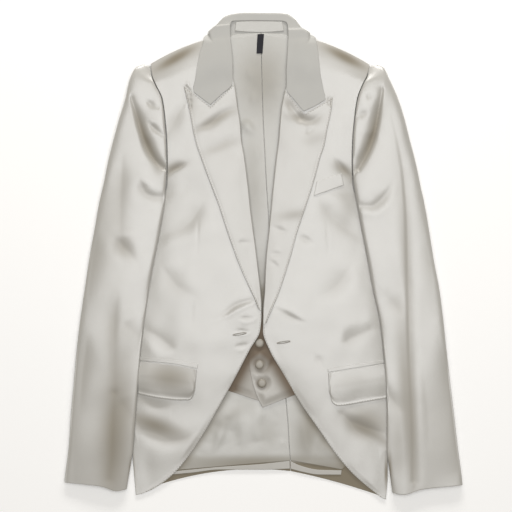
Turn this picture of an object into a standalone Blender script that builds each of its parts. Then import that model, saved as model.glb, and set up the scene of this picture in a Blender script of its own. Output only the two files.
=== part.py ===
"""Tuxedo blazer in ivory satin, laid flat on its back with the front up.

The frame is in metres with +Z up. The jacket rests on the plane z = 0, its collar towards +Y,
and -X is the wearer's right. Every table below is in millimetres in that same frame.
"""
import math

import bmesh
import bpy
import numpy as np
from mathutils import Vector
from mathutils.bvhtree import BVHTree

# Driving sizes, in millimetres
MM = 0.001
SHELL = 1.5          # satin with its interlining
LIGHT = 1.0          # lining, pocket jets and other light cloth
COLLAR = 1.2         # collar cloth
WAISTCOAT = 1.2      # cloth of the waistcoat fronts
FLAP = 1.2           # pocket flaps and breast welt
GAP = 0.3            # air between two pieces at a seam
LAID = 0.5           # air below a piece that lies on a panel
LAPEL_LAID = 0.9     # air below a lapel, which is springy at its roll
LEAF_LAID = 1.3      # air below a collar leaf
BACK_TOP = SHELL
LINING_TOP = BACK_TOP + GAP + LIGHT
SIDE_EDGE = BACK_TOP + GAP + SHELL + 0.1   # top of a front where it lies on the back
FALL_RISE = 1.6      # the back panel climbs this much over the collar fall
FALL_REACH = 88.0    # half the width of the fall below the back
FALL_FADE = 12.0     # the climb fades out sideways over this length
FALL_START = 298.0   # y where the climb starts
FALL_RAMP = 14.0     # length of the climb
LINING_LEAD = 22.0   # the lining starts its climb this far below the back's
UNDER_TOP = LINING_TOP + GAP + WAISTCOAT   # waistcoat front that lies below
UPPER_TOP = UNDER_TOP + GAP + WAISTCOAT    # waistcoat front that lies above
BUTTON_RADIUS = 7.0
BUTTON_HEIGHT = 3.0
SLEEVE_FOLD = 4.0    # radius of the outer fold of a sleeve
INNER_FOLD = 2.6     # radius of the inner fold of a sleeve
SLEEVE_TURN = 15.0   # how far the top sleeve wraps under
NECK_X = -6.0        # middle of the neck
FALL_TOP = COLLAR    # upper face of the fall where it lies on the ground

# Longest step between two sections of each kind of piece
FLAT_STEP = 40.0
WAISTCOAT_STEP = 30.0
SLEEVE_STEP = 24.0
FRONT_STEP = 22.0
BAND_STEP = 20.0
LAPEL_STEP = 20.0
COLLAR_STEP = 11.0
PATCH_STEP = 10.0

# Centre back seam of shell and lining: x and y from neck to hem
CENTRE_SEAM = (
    (-3.7, 356), (-3.2, 314), (-2.1, 266), (-0.5, 218), (1.9, 170), (4.3, 122), (7.5, 74),
    (10.7, 26), (14.7, -22), (18.7, -70), (23.5, -118), (31.5, -190), (38.7, -262),
    (41.6, -310), (43.1, -328), (43.5, -344),
)

# Outer edge of each half of the back: x and y from shoulder to hem, and the bow of that
# section towards the collar
BACK_EDGE_RIGHT = (
    (-180, 306, 13), (-178, 285, 6), (-165, 256, 0), (-157, 218, 0), (-154, 170, 0),
    (-156, 122, 0), (-166, 90, 0), (-175, 42, 0), (-186, -3, 0), (-196, -56, 0),
    (-202, -102, 0), (-209, -182, 0), (-211, -262, 0), (-210, -310, 0), (-207, -345, 8),
    (-204, -379, 16),
)
BACK_EDGE_LEFT = (
    (169, 305, 13), (165, 285, 6), (152, 256, 0), (144, 218, 0), (141, 170, 0),
    (144, 122, 0), (154, 90, 0), (165, 42, 0), (175, -5, 0), (186, -54, 0),
    (194, -102, 0), (201, -182, 0), (202, -262, 0), (200, -309, 0), (198, -345, 0),
    (194, -386, 3),
)

# Outer end of each lining section, x and y, matched to the rows of CENTRE_SEAM
LINING_EDGE_RIGHT = (
    (-60, 349), (-90, 306), (-120, 256), (-134, 218), (-134, 170), (-130, 122), (-130, 74),
    (-136, 26), (-144, -22), (-152, -70), (-158, -118), (-164, -190), (-166, -262),
    (-162, -310), (-152, -328), (-139, -342),
)
LINING_EDGE_LEFT = (
    (48, 349), (80, 306), (108, 256), (122, 218), (121, 170), (118, 122), (118, 74),
    (125, 26), (133, -22), (141, -70), (149, -118), (155, -190), (157, -262),
    (154, -310), (142, -326), (125, -341),
)
LINING_HEM_Y = -326.5

# Sections of the fronts, shoulder to tip. Edge: armhole or side. Open: neck, roll line or
# front edge. Heights are those of the upper face.
FRONT_COLUMNS = "edge_x edge_y edge_z open_x open_y open_z crown flat bow"
FRONT_RIGHT = (
    (-180, 307, 4.0, -63, 352, 6.6, 0.0, 0.00, 6),
    (-179.7, 301, 8.0, -60, 342, 9.0, 1.5, 0.00, 5),
    (-177.6, 288, 10.5, -55, 326, 10.0, 3.0, 0.00, 3),
    (-172, 274, 12.0, -52, 307, 10.0, 3.5, 0.00, 2),
    (-161, 250, 12.0, -47, 275, 9.2, 3.5, 0.00, 0),
    (-156.6, 218, 11.0, -41.6, 237, 9.0, 4.0, 0.00, 0),
    (-154, 186, 10.0, -36, 189, 9.0, 5.0, 0.00, 0),
    (-153.2, 154, 9.0, -30.4, 154, 9.0, 5.5, 0.00, 0),
    (-153.6, 122, 7.0, -26.4, 122, 9.0, 5.5, 0.00, 0),
    (-155.2, 107, SIDE_EDGE, -24.8, 107, 9.0, 5.5, 0.06, 0),
    (-165.6, 90, SIDE_EDGE, -22.7, 90, 9.0, 5.5, 0.12, 0),
    (-175, 42, SIDE_EDGE, -17, 42, 9.0, 5.5, 0.12, 0),
    (-186, -3, SIDE_EDGE, -11.2, -3, 9.2, 5.0, 0.12, 0),
    (-196, -56, SIDE_EDGE, -4.8, -56, 10.0, 4.5, 0.12, 0),
    (-202, -102, SIDE_EDGE, -3.2, -96, 11.2, 3.5, 0.12, 0),
    (-206, -142, SIDE_EDGE, -5.6, -120, 11.2, 3.0, 0.12, 0),
    (-209, -182, SIDE_EDGE, -21.6, -149, 10.4, 3.0, 0.12, 0),
    (-210.4, -222, SIDE_EDGE, -41.4, -187, 8.8, 3.5, 0.12, 0),
    (-211.2, -262, SIDE_EDGE, -69.6, -238, 7.2, 3.5, 0.12, 0),
    (-210.4, -302, SIDE_EDGE, -93.6, -280, 6.0, 3.0, 0.10, 0),
    (-208.3, -330, SIDE_EDGE, -118.6, -318, 5.2, 2.5, 0.05, 0),
    (-206.6, -350, SIDE_EDGE, -145.8, -350, 4.8, 1.5, 0.00, 0),
    (-205, -370, SIDE_EDGE, -178, -373, 4.0, 0.8, 0.00, 0),
    (-204, -382, SIDE_EDGE, -195, -380, 3.6, 0.2, 0.00, 0),
)
FRONT_LEFT = (
    (168.8, 306, 4.0, 52, 352, 6.6, 0.0, 0.00, 6),
    (168.5, 301, 8.0, 49, 342, 9.0, 1.5, 0.00, 5),
    (164.8, 288, 10.5, 44, 326, 10.0, 3.0, 0.00, 3),
    (158.4, 275, 12.0, 41, 307, 10.0, 3.5, 0.00, 2),
    (149, 250, 12.0, 36, 272, 9.2, 3.5, 0.00, 0),
    (144.5, 218, 11.0, 29, 237, 9.0, 4.0, 0.00, 0),
    (141.8, 186, 10.0, 25, 189, 9.0, 5.0, 0.00, 0),
    (141, 154, 9.0, 20.5, 154, 9.0, 5.5, 0.00, 0),
    (142, 120, 7.0, 16.8, 120, 9.0, 5.5, 0.00, 0),
    (144, 106, SIDE_EDGE, 15.4, 106, 9.0, 5.5, 0.06, 0),
    (154.4, 90, SIDE_EDGE, 14, 90, 9.0, 5.5, 0.12, 0),
    (164.8, 42, SIDE_EDGE, 9.3, 42, 9.0, 5.5, 0.12, 0),
    (175.2, -5, SIDE_EDGE, 4.6, -5, 9.2, 5.0, 0.12, 0),
    (185.6, -54, SIDE_EDGE, 2.4, -54, 10.0, 4.5, 0.12, 0),
    (193.6, -102, SIDE_EDGE, -0.6, -96, 11.2, 3.5, 0.12, 0),
    (198, -142, SIDE_EDGE, -1.0, -120, 11.2, 3.0, 0.12, 0),
    (200.8, -182, SIDE_EDGE, 10.4, -152, 10.4, 3.0, 0.12, 0),
    (202.4, -222, SIDE_EDGE, 31, -187, 8.8, 3.5, 0.12, 0),
    (202.4, -262, SIDE_EDGE, 58.4, -234, 7.2, 3.5, 0.12, 0),
    (200.8, -302, SIDE_EDGE, 88.8, -278, 6.0, 3.0, 0.10, 0),
    (198.6, -330, SIDE_EDGE, 116, -317, 5.2, 2.5, 0.05, 0),
    (198.6, -352, SIDE_EDGE, 144.8, -350, 4.8, 1.5, 0.00, 0),
    (197, -373, SIDE_EDGE, 170.4, -372, 4.0, 0.8, 0.00, 0),
    (195.2, -389, SIDE_EDGE, 188, -385.6, 3.6, 0.2, 0.00, 0),
)

# Sections of the lapels, peak to closure. Notch: how far the section dips at the gorge.
LAPEL_COLUMNS = "edge_x edge_y roll_x roll_y notch"
LAPEL_RIGHT = (
    (-126.6, 270, -47.2, 273.5, 35),
    (-122.7, 252, -45.2, 259, 24),
    (-117.6, 230, -42.4, 238, 14),
    (-113, 203, -38.9, 216, 5),
    (-107.5, 179, -36.0, 184, 0),
    (-100, 157, -31.6, 158, 0),
    (-91, 132, -28.2, 132, 0),
    (-81.6, 107, -25.2, 107, 0),
    (-69.6, 75, -21.9, 75, 0),
    (-60, 45, -18.0, 45, 0),
    (-48.2, 11, -13.4, 11, 0),
    (-36, -21, -9.6, -21, 0),
    (-21.6, -53, -5.8, -56, 0),
    (-12, -74, -4.4, -78, 0),
    (-8.4, -84, -4.4, -87, 0),
)
LAPEL_LEFT = (
    (109.6, 252, 35.0, 263, 34),
    (109, 240, 32.6, 251, 25),
    (106.4, 224, 29.6, 235, 15),
    (101.6, 202, 27.3, 211, 6),
    (97.4, 179, 25.2, 184, 0),
    (90.4, 157, 21.6, 157, 0),
    (83.2, 130, 18.6, 130, 0),
    (75.2, 102, 15.6, 102, 0),
    (64, 69, 12.6, 69, 0),
    (52.8, 35, 9.2, 35, 0),
    (44, 2, 5.6, 2, 0),
    (34.4, -29, 3.8, -29, 0),
    (24.8, -58, 2.8, -58, 0),
    (13.6, -85, 0.6, -86, 0),
    (4.6, -106, 0.2, -110, 0),
)
NOTCH_RIGHT = 0.53   # where along the top edge the gorge meets the notch
NOTCH_LEFT = 0.60

# Sections of the sleeves, shoulder to cuff. Crown: top of the arch. Base and turn: height and
# depth of the part that wraps under at the inner side.
SLEEVE_COLUMNS = "outer_x outer_y inner_x inner_y crown base turn"
SLEEVE_RIGHT = (
    (-193, 304, -181.6, 296, 9.5, 4.2, 1.0),
    (-204, 300, -178.8, 288, 13.0, 6.2, 1.0),
    (-213.6, 281, -173.4, 274, 16.0, 8.6, 1.0),
    (-220.6, 250, -162.2, 250, 18.0, 9.0, 1.0),
    (-230.2, 219, -157.6, 218, 18.5, 8.2, 1.0),
    (-239.7, 184, -155.2, 186, 18.0, 7.2, 1.0),
    (-247.2, 154, -154.4, 154, 17.5, 6.2, 1.0),
    (-254.4, 118, -154.8, 122, 17.0, 4.6, 1.0),
    (-257.6, 104, -156.4, 107, 16.8, 4.0, 1.5),
    (-261, 90, -157.4, 90, 16.5, 3.9, 8.0),
    (-269.6, 42, -164.8, 42, 16.0, 3.9, SLEEVE_TURN),
    (-277.6, -3, -173.6, -3, 16.0, 3.9, SLEEVE_TURN),
    (-285.6, -56, -183.2, -56, 15.5, 3.9, SLEEVE_TURN),
    (-292.3, -102, -189.6, -102, 15.5, 3.9, SLEEVE_TURN),
    (-297.9, -149, -196, -149, 15.5, 5.9, SLEEVE_TURN),
    (-303, -206, -200.2, -206, 15.5, 5.9, SLEEVE_TURN),
    (-306.4, -243, -203.2, -243, 15.0, 4.6, SLEEVE_TURN),
    (-311.2, -310, -208.3, -310, 14.5, 3.9, SLEEVE_TURN),
    (-315.4, -342, -213.6, -342, 13.5, 1.0, SLEEVE_TURN),
    (-317.6, -361, -218.4, -370, 12.5, 0.0, SLEEVE_TURN),
)
SLEEVE_LEFT = (
    (179.2, 304, 169.8, 296, 9.5, 4.2, 1.0),
    (190.4, 301, 166.2, 288, 13.0, 6.2, 1.0),
    (200, 283, 159.6, 275, 16.0, 8.6, 1.0),
    (214.6, 250, 150.0, 250, 18.0, 9.0, 1.0),
    (224.8, 218, 145.4, 218, 18.5, 8.2, 1.0),
    (232.8, 186, 142.6, 186, 18.0, 7.2, 1.0),
    (241.3, 154, 142.0, 154, 17.5, 6.2, 1.0),
    (248.2, 122, 143.2, 120, 17.0, 4.6, 1.0),
    (251.4, 106, 145.2, 106, 16.8, 4.0, 1.5),
    (255.2, 90, 148.2, 90, 16.5, 3.9, 8.0),
    (263.8, 42, 157.1, 42, 16.0, 3.9, SLEEVE_TURN),
    (271.2, -5, 166.2, -5, 16.0, 3.9, SLEEVE_TURN),
    (280.5, -54, 174.9, -54, 15.5, 3.9, SLEEVE_TURN),
    (286.7, -102, 185.6, -102, 15.5, 3.9, SLEEVE_TURN),
    (291.7, -149, 191.4, -149, 15.5, 5.9, SLEEVE_TURN),
    (298.1, -206, 195.5, -206, 15.5, 5.9, SLEEVE_TURN),
    (302.9, -246, 197.3, -246, 15.0, 4.6, SLEEVE_TURN),
    (310.4, -310, 196.8, -309, 14.5, 3.9, SLEEVE_TURN),
    (314.9, -342, 201.3, -342, 13.5, 1.0, SLEEVE_TURN),
    (317.6, -365, 205.6, -376, 12.5, 0.0, SLEEVE_TURN),
)
CUFF_BOW = 6.0       # the cuff edge dips this much near its inner fold
CUFF_BOW_AT = 0.83   # where along the cuff, from the outer fold
CUFF_BOW_WIDTH = 0.16

# Folds. Each runs from start to end; depth below zero is a ridge.
FOLD_COLUMNS = "start_x start_y end_x end_y width depth"
FOLDS_FRONT_RIGHT = (
    (-191, -282, -150, -302, 8, 1.6),
    (-150, -302, -113, -283, 8, 1.6),
    (-151, 140, -121, 150, 8, 1.5),
    (-129, 243, -150, 203, 9, 1.5),
    (-64, -93, -25, -72, 8, 1.2),
)
FOLDS_FRONT_LEFT = (
    (129, -258, 183, -294, 8, 1.6),
    (113, 154, 129, 143, 8, 1.5),
    (90, -160, 84, -195, 8, 1.2),
)
FOLDS_SLEEVE_RIGHT = (
    (-208, 250, -166, 158, 9, 5.0),
    (-198, 121, -162, 94, 8, 2.5),
    (-228, 170, -228, 10, 9, 3.5),
    (-238, -70, -238, -215, 9, 2.5),
    (-240, -230, -243, -350, 9, 2.0),
)
FOLDS_SLEEVE_LEFT = (
    (187, 262, 154, 147, 9, 5.0),
    (157, 80, 206, 120, 8, 2.5),
    (204, 221, 225, 96, 8, 4.0),
    (225, 96, 231, -136, 8, 4.0),
    (231, -136, 239, -352, 8, 3.5),
)

# Panels and patches are given by the two ends of each section, and some by its bow as well
EDGE_COLUMNS = "ax ay bx by"
PANEL_COLUMNS = "ax ay bx by bow"

# Waistcoat fronts, top to bottom: side and front edge
WAISTCOAT_RIGHT = (
    (-77.6, -90, 4, -90),
    (-77.6, -134, 7.2, -142),
    (-76, -174, 7.2, -186),
    (-72.8, -205, 4, -218),
    (-66.4, -212, -2.4, -233),
)
WAISTCOAT_LEFT = (
    (77.6, -90, -22.4, -90),
    (77.6, -134, -23.5, -142),
    (76, -170, -22.6, -173),
    (74.4, -195, -17.6, -202),
    (72.8, -206, -10.4, -224),
    (71.2, -213, -1.6, -242),
)
WAISTCOAT_BUTTONS = ((-6.4, -139), (-6.4, -173.5), (-2.4, -203))

# Strips and flaps on the fronts: upper edge and lower edge, from the side seam inwards
JET_RIGHT = ((-200, -160, -200, -166.6), (-151, -164, -151.6, -170.6), (-104, -172, -105.4, -179))
JET_LEFT = ((197, -164.8, 197, -170), (137.8, -174, 137.8, -179.4), (102, -179.6, 103, -185))
FLAP_RIGHT = (
    (-200, -167.8, -200, -220),
    (-181.6, -169.6, -181.6, -224),
    (-157.6, -172.8, -157.6, -228),
    (-133.6, -176, -133.6, -230),
    (-117.6, -178.9, -120, -230),
    (-109.6, -180.6, -112.5, -224),
    (-106.4, -181.4, -108.8, -211),
)
FLAP_LEFT = (
    (197, -171.2, 197, -227),
    (178.4, -174.4, 178.4, -230),
    (154.4, -178.2, 154.4, -234),
    (130.4, -182.2, 130.4, -238),
    (114.4, -184.6, 118.4, -239),
    (106.4, -186, 109.3, -233),
    (103.2, -186.6, 104.5, -216),
)
BREAST_WELT = ((85, 119, 80, 96), (124, 132, 128, 113))

# The collar, from the right leaf over the back neck to the left leaf. Fall: free edge. Bend:
# middle of a leaf, and at the back the roll. Neck: inner edge. Under: 1 where the fall lies
# below the back panel.
COLLAR_COLUMNS = "fall_x fall_y bend_x bend_y neck_x neck_y neck_z under"
COLLAR_SECTIONS = (
    (-110.8, 260.2, -97.6, 250.3, -84.6, 240.5, 9, 0),
    (-111.8, 267, -90, 261, -68.8, 255.5, 9, 0),
    (-108.6, 281.6, -80.8, 279, -49.6, 275, 9, 0),
    (-105.2, 304, -77.6, 302, -49, 296, 11, 0),
    (-100.8, 326, -76, 323, -50, 317, 11, 0),
    (-96.6, 339, -78, 336, -51.6, 334, 10, 0),
    (-95.0, 348, -84, 346, -52.8, 347, 8, 0.35),
    (-88.0, 353, -88.0, 356, -53.4, 361, 6.4, 0.85),
    (-78.0, 352, -75, 369, -52.4, 371, 4.6, 1),
    (-62.0, 346, -61.0, 382.5, -49, 375.4, 3.4, 1),
    (-44.0, 343.4, -46.0, 387.0, -40, 376, 2.4, 1),
    (-25.0, 343, -26.0, 388.4, -25, 376.2, 2.4, 1),
    (-6.4, 343, -6.4, 388, -6.4, 376.2, 2.4, 1),
    (12.0, 343, 13.0, 388, 12, 376, 2.4, 1),
    (30.0, 343.4, 34.0, 387.2, 28, 375.8, 2.4, 1),
    (46.0, 346, 49.0, 379, 36.6, 373, 3.4, 1),
    (62.0, 351, 61.0, 364.5, 39, 364, 4.6, 1),
    (74.0, 352.5, 74.0, 354.5, 39.4, 352, 6.8, 0.85),
    (83.0, 347.5, 73, 346, 39, 341, 8, 0.35),
    (85.2, 336, 66, 334, 38.4, 330, 10, 0),
    (87.4, 318, 64, 316, 37.4, 312, 11, 0),
    (90.0, 294, 64, 293, 36.4, 291, 11, 0),
    (94.2, 270, 67, 268, 36.8, 265.4, 9, 0),
    (97.8, 255, 73, 250, 48.6, 248.6, 9, 0),
    (98.4, 248.6, 82, 238.6, 63.6, 230, 9, 0),
)

# The inner collar stand across the back neck and the tab below it
STAND = (
    (-44, 374.0, -46, 360),
    (-25, 375.0, -25, 358.2),
    (-6.4, 375.2, -6.4, 357.6),
    (12, 375.0, 12, 358.2),
    (30, 374.2, 33, 360),
)
TAB = ((-9.6, 354.4, 0.8, 354.4), (-10.2, 344, 0.0, 344), (-11.2, 323.2, -1.6, 323.2))

# Hem of the back between the fronts: inner and outer edge of its turned-up band
HEM_BAND_RIGHT = (
    (-139.5, -343.6, -144.6, -349),
    (-114, -341.2, -115, -346.4),
    (-70, -337, -70, -341.4),
    (-3, -332.4, -3, -341.4),
    (41.8, -327.6, 42.4, -340),
)
HEM_BAND_LEFT = (
    (42.8, -327.6, 43.4, -340),
    (58, -334.6, 58, -344),
    (89, -341.6, 89, -349.4),
    (125, -342.6, 124, -349.6),
)

IVORY = (0.50, 0.49, 0.465)
SHADED_IVORY = (0.42, 0.41, 0.38)
BLACK = (0.02, 0.02, 0.025)


def smooth_step(value):
    """Ease from 0 to 1 as the value goes from 0 to 1."""
    clipped = min(max(value, 0.0), 1.0)
    return clipped * clipped * (3.0 - 2.0 * clipped)


def column(columns, rows, name):
    """One named column of a table."""
    index = columns.split().index(name)
    return [row[index] for row in rows]


def monotone_curve(knots, values, at):
    """A smooth curve through values at knots that never overshoots them."""
    knots = np.asarray(knots, float)
    values = np.asarray(values, float)
    steps = np.diff(knots)
    rises = np.diff(values) / steps
    slopes = np.zeros(len(knots))
    slopes[0] = rises[0]
    slopes[-1] = rises[-1]
    for i in range(1, len(knots) - 1):
        if rises[i - 1] * rises[i] > 0:
            before = 2 * steps[i] + steps[i - 1]
            after = steps[i] + 2 * steps[i - 1]
            slopes[i] = (before + after) / (before / rises[i - 1] + after / rises[i])
    place = np.clip(np.searchsorted(knots, at, side="right") - 1, 0, len(steps) - 1)
    width = steps[place]
    t = (at - knots[place]) / width
    start = (1 + 2 * t) * (1 - t) ** 2 * values[place] + t * (1 - t) ** 2 * width * slopes[place]
    end = t * t * (3 - 2 * t) * values[place + 1] + t * t * (t - 1) * width * slopes[place + 1]
    return start + end


def section_knots(rows, ends):
    """Distance along a panel of each table row, from the middle of its two ends."""
    middles = []
    for row in rows:
        first, second = ends(row)
        middles.append(((first[0] + second[0]) / 2, (first[1] + second[1]) / 2))
    knots = [0.0]
    for before, after in zip(middles, middles[1:]):
        knots.append(knots[-1] + max(math.dist(before, after), 0.5))
    return knots


def stations(knots, step):
    """Every knot, with even stations between two knots that are further apart than step."""
    places = []
    for start, end in zip(knots, knots[1:]):
        count = max(1, round((end - start) / step))
        places += [start + (end - start) * i / count for i in range(count)]
    return np.array(places + [knots[-1]])


def sections(columns, rows, ends, step):
    """Table rows smoothed and filled in, as dictionaries by column name."""
    knots = section_knots(rows, ends)
    places = stations(knots, step)
    names = columns.split()
    curves = {name: monotone_curve(knots, column(columns, rows, name), places) for name in names}
    return [{name: float(curves[name][i]) for name in names} for i in range(len(places))]


def fold_relief(x, y, folds):
    """How far the folds lower the cloth at a point."""
    lowered = 0.0
    for start_x, start_y, end_x, end_y, width, depth in folds:
        run_x = end_x - start_x
        run_y = end_y - start_y
        length = math.hypot(run_x, run_y)
        along = ((x - start_x) * run_x + (y - start_y) * run_y) / length
        beyond = max(-along, along - length, 0.0)
        across = abs((x - start_x) * run_y - (y - start_y) * run_x) / length
        lowered += depth * math.exp(-((across / width) ** 2) - (beyond / width) ** 2)
    return lowered


def neck_rise(x, y):
    """How far the back is lifted by the collar fall below it."""
    beside = 1.0 - smooth_step((abs(x - NECK_X) - FALL_REACH) / FALL_FADE)
    return FALL_RISE * beside * smooth_step((y - FALL_START) / FALL_RAMP)


def cloth_material(name, colour, roughness):
    """A satin surface of one colour."""
    material = bpy.data.materials.new(name)
    material.use_nodes = True
    shader = material.node_tree.nodes["Principled BSDF"]
    shader.inputs["Base Color"].default_value = (*colour, 1.0)
    shader.inputs["Roughness"].default_value = roughness
    shader.inputs["Metallic"].default_value = 0.0
    return material


def solid(name, outer, inner, colour=IVORY, roughness=0.4):
    """A closed wall between two grids of points in millimetres."""
    rows = len(outer)
    cols = len(outer[0])
    points = [Vector(p) * MM for grid in (outer, inner) for row in grid for p in row]
    offset = rows * cols

    def at(row, col):
        return row * cols + col

    faces = []
    for r in range(rows - 1):
        for c in range(cols - 1):
            quad = (at(r, c), at(r, c + 1), at(r + 1, c + 1), at(r + 1, c))
            faces.append(quad)
            faces.append(tuple(offset + i for i in reversed(quad)))
    rim = [at(0, c) for c in range(cols)]
    rim += [at(r, cols - 1) for r in range(1, rows)]
    rim += [at(rows - 1, c) for c in range(cols - 2, -1, -1)]
    rim += [at(r, 0) for r in range(rows - 2, 0, -1)]
    for first, second in zip(rim, rim[1:] + rim[:1]):
        faces.append((second, first, offset + first, offset + second))
    mesh = bpy.data.meshes.new(name)
    mesh.from_pydata(points, [], faces)
    work = bmesh.new()
    work.from_mesh(mesh)
    bmesh.ops.triangulate(work, faces=work.faces)
    bmesh.ops.recalc_face_normals(work, faces=work.faces)
    if work.calc_volume(signed=True) < 0:
        bmesh.ops.reverse_faces(work, faces=work.faces)
    work.to_mesh(mesh)
    work.free()
    mesh.shade_smooth()
    mesh.set_sharp_from_angle(angle=math.radians(40))
    item = bpy.data.objects.new(name, mesh)
    mesh.materials.append(cloth_material(name + "_cloth", colour, roughness))
    bpy.context.collection.objects.link(item)
    return item


def lowered(grid, thickness):
    """The same points, straight down by the thickness."""
    return [[(x, y, z - thickness) for x, y, z in row] for row in grid]


class Surface:
    """Looks up the height of a grid of points at any place."""

    def __init__(self, *grids):
        self.trees = []
        for grid in grids:
            cols = len(grid[0])
            points = [Vector(p) for row in grid for p in row]
            faces = []
            for r in range(len(grid) - 1):
                for c in range(cols - 1):
                    a = r * cols + c
                    faces.append((a, a + 1, a + cols + 1))
                    faces.append((a, a + cols + 1, a + cols))
            self.trees.append(BVHTree.FromPolygons(points, faces))

    def height(self, x, y, default=None):
        """Height of the highest grid at x, y, or of the nearest point where none lies there."""
        best = None
        for tree in self.trees:
            hit = tree.ray_cast(Vector((x, y, 200)), Vector((0, 0, -1)))[0]
            if hit is not None and (best is None or hit.z > best):
                best = hit.z
        if best is None and default is None:
            near = min((tree.find_nearest(Vector((x, y, 10))) for tree in self.trees),
                       key=lambda found: found[3])
            return near[0].z
        return default if best is None else best


def between(first, second, u):
    """The point at fraction u from first to second, in plan."""
    return first[0] + (second[0] - first[0]) * u, first[1] + (second[1] - first[1]) * u


def front_grid(rows, folds, across=11):
    """Upper face of a front: low at the side, crowned over the chest."""
    grid = []
    for row in sections(FRONT_COLUMNS, rows, lambda r: (r[0:2], r[3:5]), FRONT_STEP):
        line = []
        for c in range(across + 1):
            u = c / across
            x, y = between((row["edge_x"], row["edge_y"]), (row["open_x"], row["open_y"]), u)
            y += row["bow"] * 4 * u * (1 - u)
            inside = max(0.0, (u - row["flat"]) / (1 - row["flat"]))
            ease = inside if row["flat"] < 0.001 else inside * (0.35 + 0.65 * inside)
            z = row["edge_z"] + (row["open_z"] - row["edge_z"]) * ease
            z += row["crown"] * math.sin(math.pi * inside) ** 0.9
            z -= fold_relief(x, y, folds) * smooth_step(4 * u) * smooth_step(4 * (1 - u))
            line.append((x, y, z))
        grid.append(line)
    return grid


def panel_grid(rows, top, across, step, rise=None):
    """Upper face of a flat panel between two edges, with a bow in each section."""
    grid = []
    for row in sections(PANEL_COLUMNS, rows, lambda r: (r[0:2], r[2:4]), step):
        line = []
        for c in range(across + 1):
            u = c / across
            x, y = between((row["ax"], row["ay"]), (row["bx"], row["by"]), u)
            y += row["bow"] * 4 * u * (1 - u)
            line.append((x, y, top + (rise(x, y) if rise else 0.0)))
        grid.append(line)
    return grid


def back_panel(name, edge, seam_shift):
    """One half of the back shell, flat on the ground."""
    rows = []
    for (edge_x, edge_y, bow), (seam_x, seam_y) in zip(edge, CENTRE_SEAM):
        rows.append((edge_x, edge_y, seam_x + seam_shift, seam_y, bow))
    grid = panel_grid(rows, BACK_TOP, 6, FLAT_STEP, neck_rise)
    return solid(name, grid, lowered(grid, SHELL), SHADED_IVORY)


def lining_rise(x, y):
    """The lining climbs with the back, a little earlier."""
    return neck_rise(x, y + LINING_LEAD)


def lining_panel(name, edge, seam_shift, hem_y):
    """One half of the back lining, on the back shell."""
    rows = []
    for (edge_x, edge_y), (seam_x, seam_y) in zip(edge, CENTRE_SEAM):
        rows.append((edge_x, edge_y, seam_x + seam_shift, max(seam_y, hem_y), 0.0))
    rows[0] = (*rows[0][:4], -3.0)
    grid = panel_grid(rows, LINING_TOP, 5, FLAT_STEP, lining_rise)
    solid(name, grid, lowered(grid, LIGHT))
    return grid


def laid_patch(name, rows, below, thickness, across=3, step=PATCH_STEP, colour=IVORY):
    """A flat piece whose sections run from an upper to a lower edge, laid on a surface."""
    grid = []
    for row in sections(EDGE_COLUMNS, rows, lambda r: (r[0:2], r[2:4]), step):
        line = []
        for c in range(across + 1):
            x, y = between((row["ax"], row["ay"]), (row["bx"], row["by"]), c / across)
            line.append((x, y, below(x, y) + thickness))
        grid.append(line)
    return solid(name, grid, lowered(grid, thickness), colour)


def lapel_grid(rows, notch_at, below, across=6):
    """Upper face of a lapel, laid on its front, with the gorge and peak in its top edge."""
    grid = []
    for row in sections(LAPEL_COLUMNS, rows, lambda r: (r[0:2], r[2:4]), LAPEL_STEP):
        line = []
        for c in range(across + 1):
            u = notch_at * c / (across // 2)
            if c > across // 2:
                u = notch_at + (1 - notch_at) * (c - across // 2) / (across - across // 2)
            x, y = between((row["edge_x"], row["edge_y"]), (row["roll_x"], row["roll_y"]), u)
            dip = u / notch_at if u < notch_at else (1 - u) / (1 - notch_at)
            y -= row["notch"] * dip
            line.append((x, y, below.height(x, y) + LAPEL_LAID + SHELL))
        grid.append(line)
    return grid


def outer_turn(width):
    """How far the top sleeve wraps under at its outer side."""
    return min(SLEEVE_TURN, 0.25 * width)


def collar_line(row, below):
    """Middle of the collar wall in one section, from the fall over the bend to the neck."""
    fall = (row["fall_x"], row["fall_y"])
    bend = (row["bend_x"], row["bend_y"])
    neck = (row["neck_x"], row["neck_y"])
    under = row["under"]

    def on_top(place):
        return max(row["neck_z"], below.height(*place) + LEAF_LAID + COLLAR / 2)

    low = on_top(fall) + (FALL_TOP / 2 - on_top(fall)) * under
    high = row["neck_z"] if under > 0.99 else on_top(between(bend, neck, 0.15))
    radius = max((high - low) / 2, 0.0)
    to_fall = max(math.dist(bend, fall), 0.1)
    to_neck = max(math.dist(bend, neck), 0.1)
    corner = 1 - math.sqrt(0.5)
    folded = [
        (*fall, low),
        (*between(fall, bend, 0.5), low),
        (*between(bend, fall, min(radius / to_fall, 0.4)), low),
        (*between(bend, fall, min(corner * radius / to_fall, 0.2)), low + corner * radius),
        (*bend, low + radius),
        (*between(bend, neck, corner * radius / to_neck), high - corner * radius),
        (*between(bend, neck, radius / to_neck), high),
        (*between(bend, neck, 0.55), high),
        (*neck, high),
    ]
    flat = [between(fall, bend, k / 4) for k in range(4)]
    flat += [between(bend, neck, k / 4) for k in range(5)]
    line = []
    for (fx, fy, fz), (x, y) in zip(folded, flat):
        z = on_top((x, y))
        line.append((x + (fx - x) * under, y + (fy - y) * under, z + (fz - z) * under))
    return line


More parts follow.
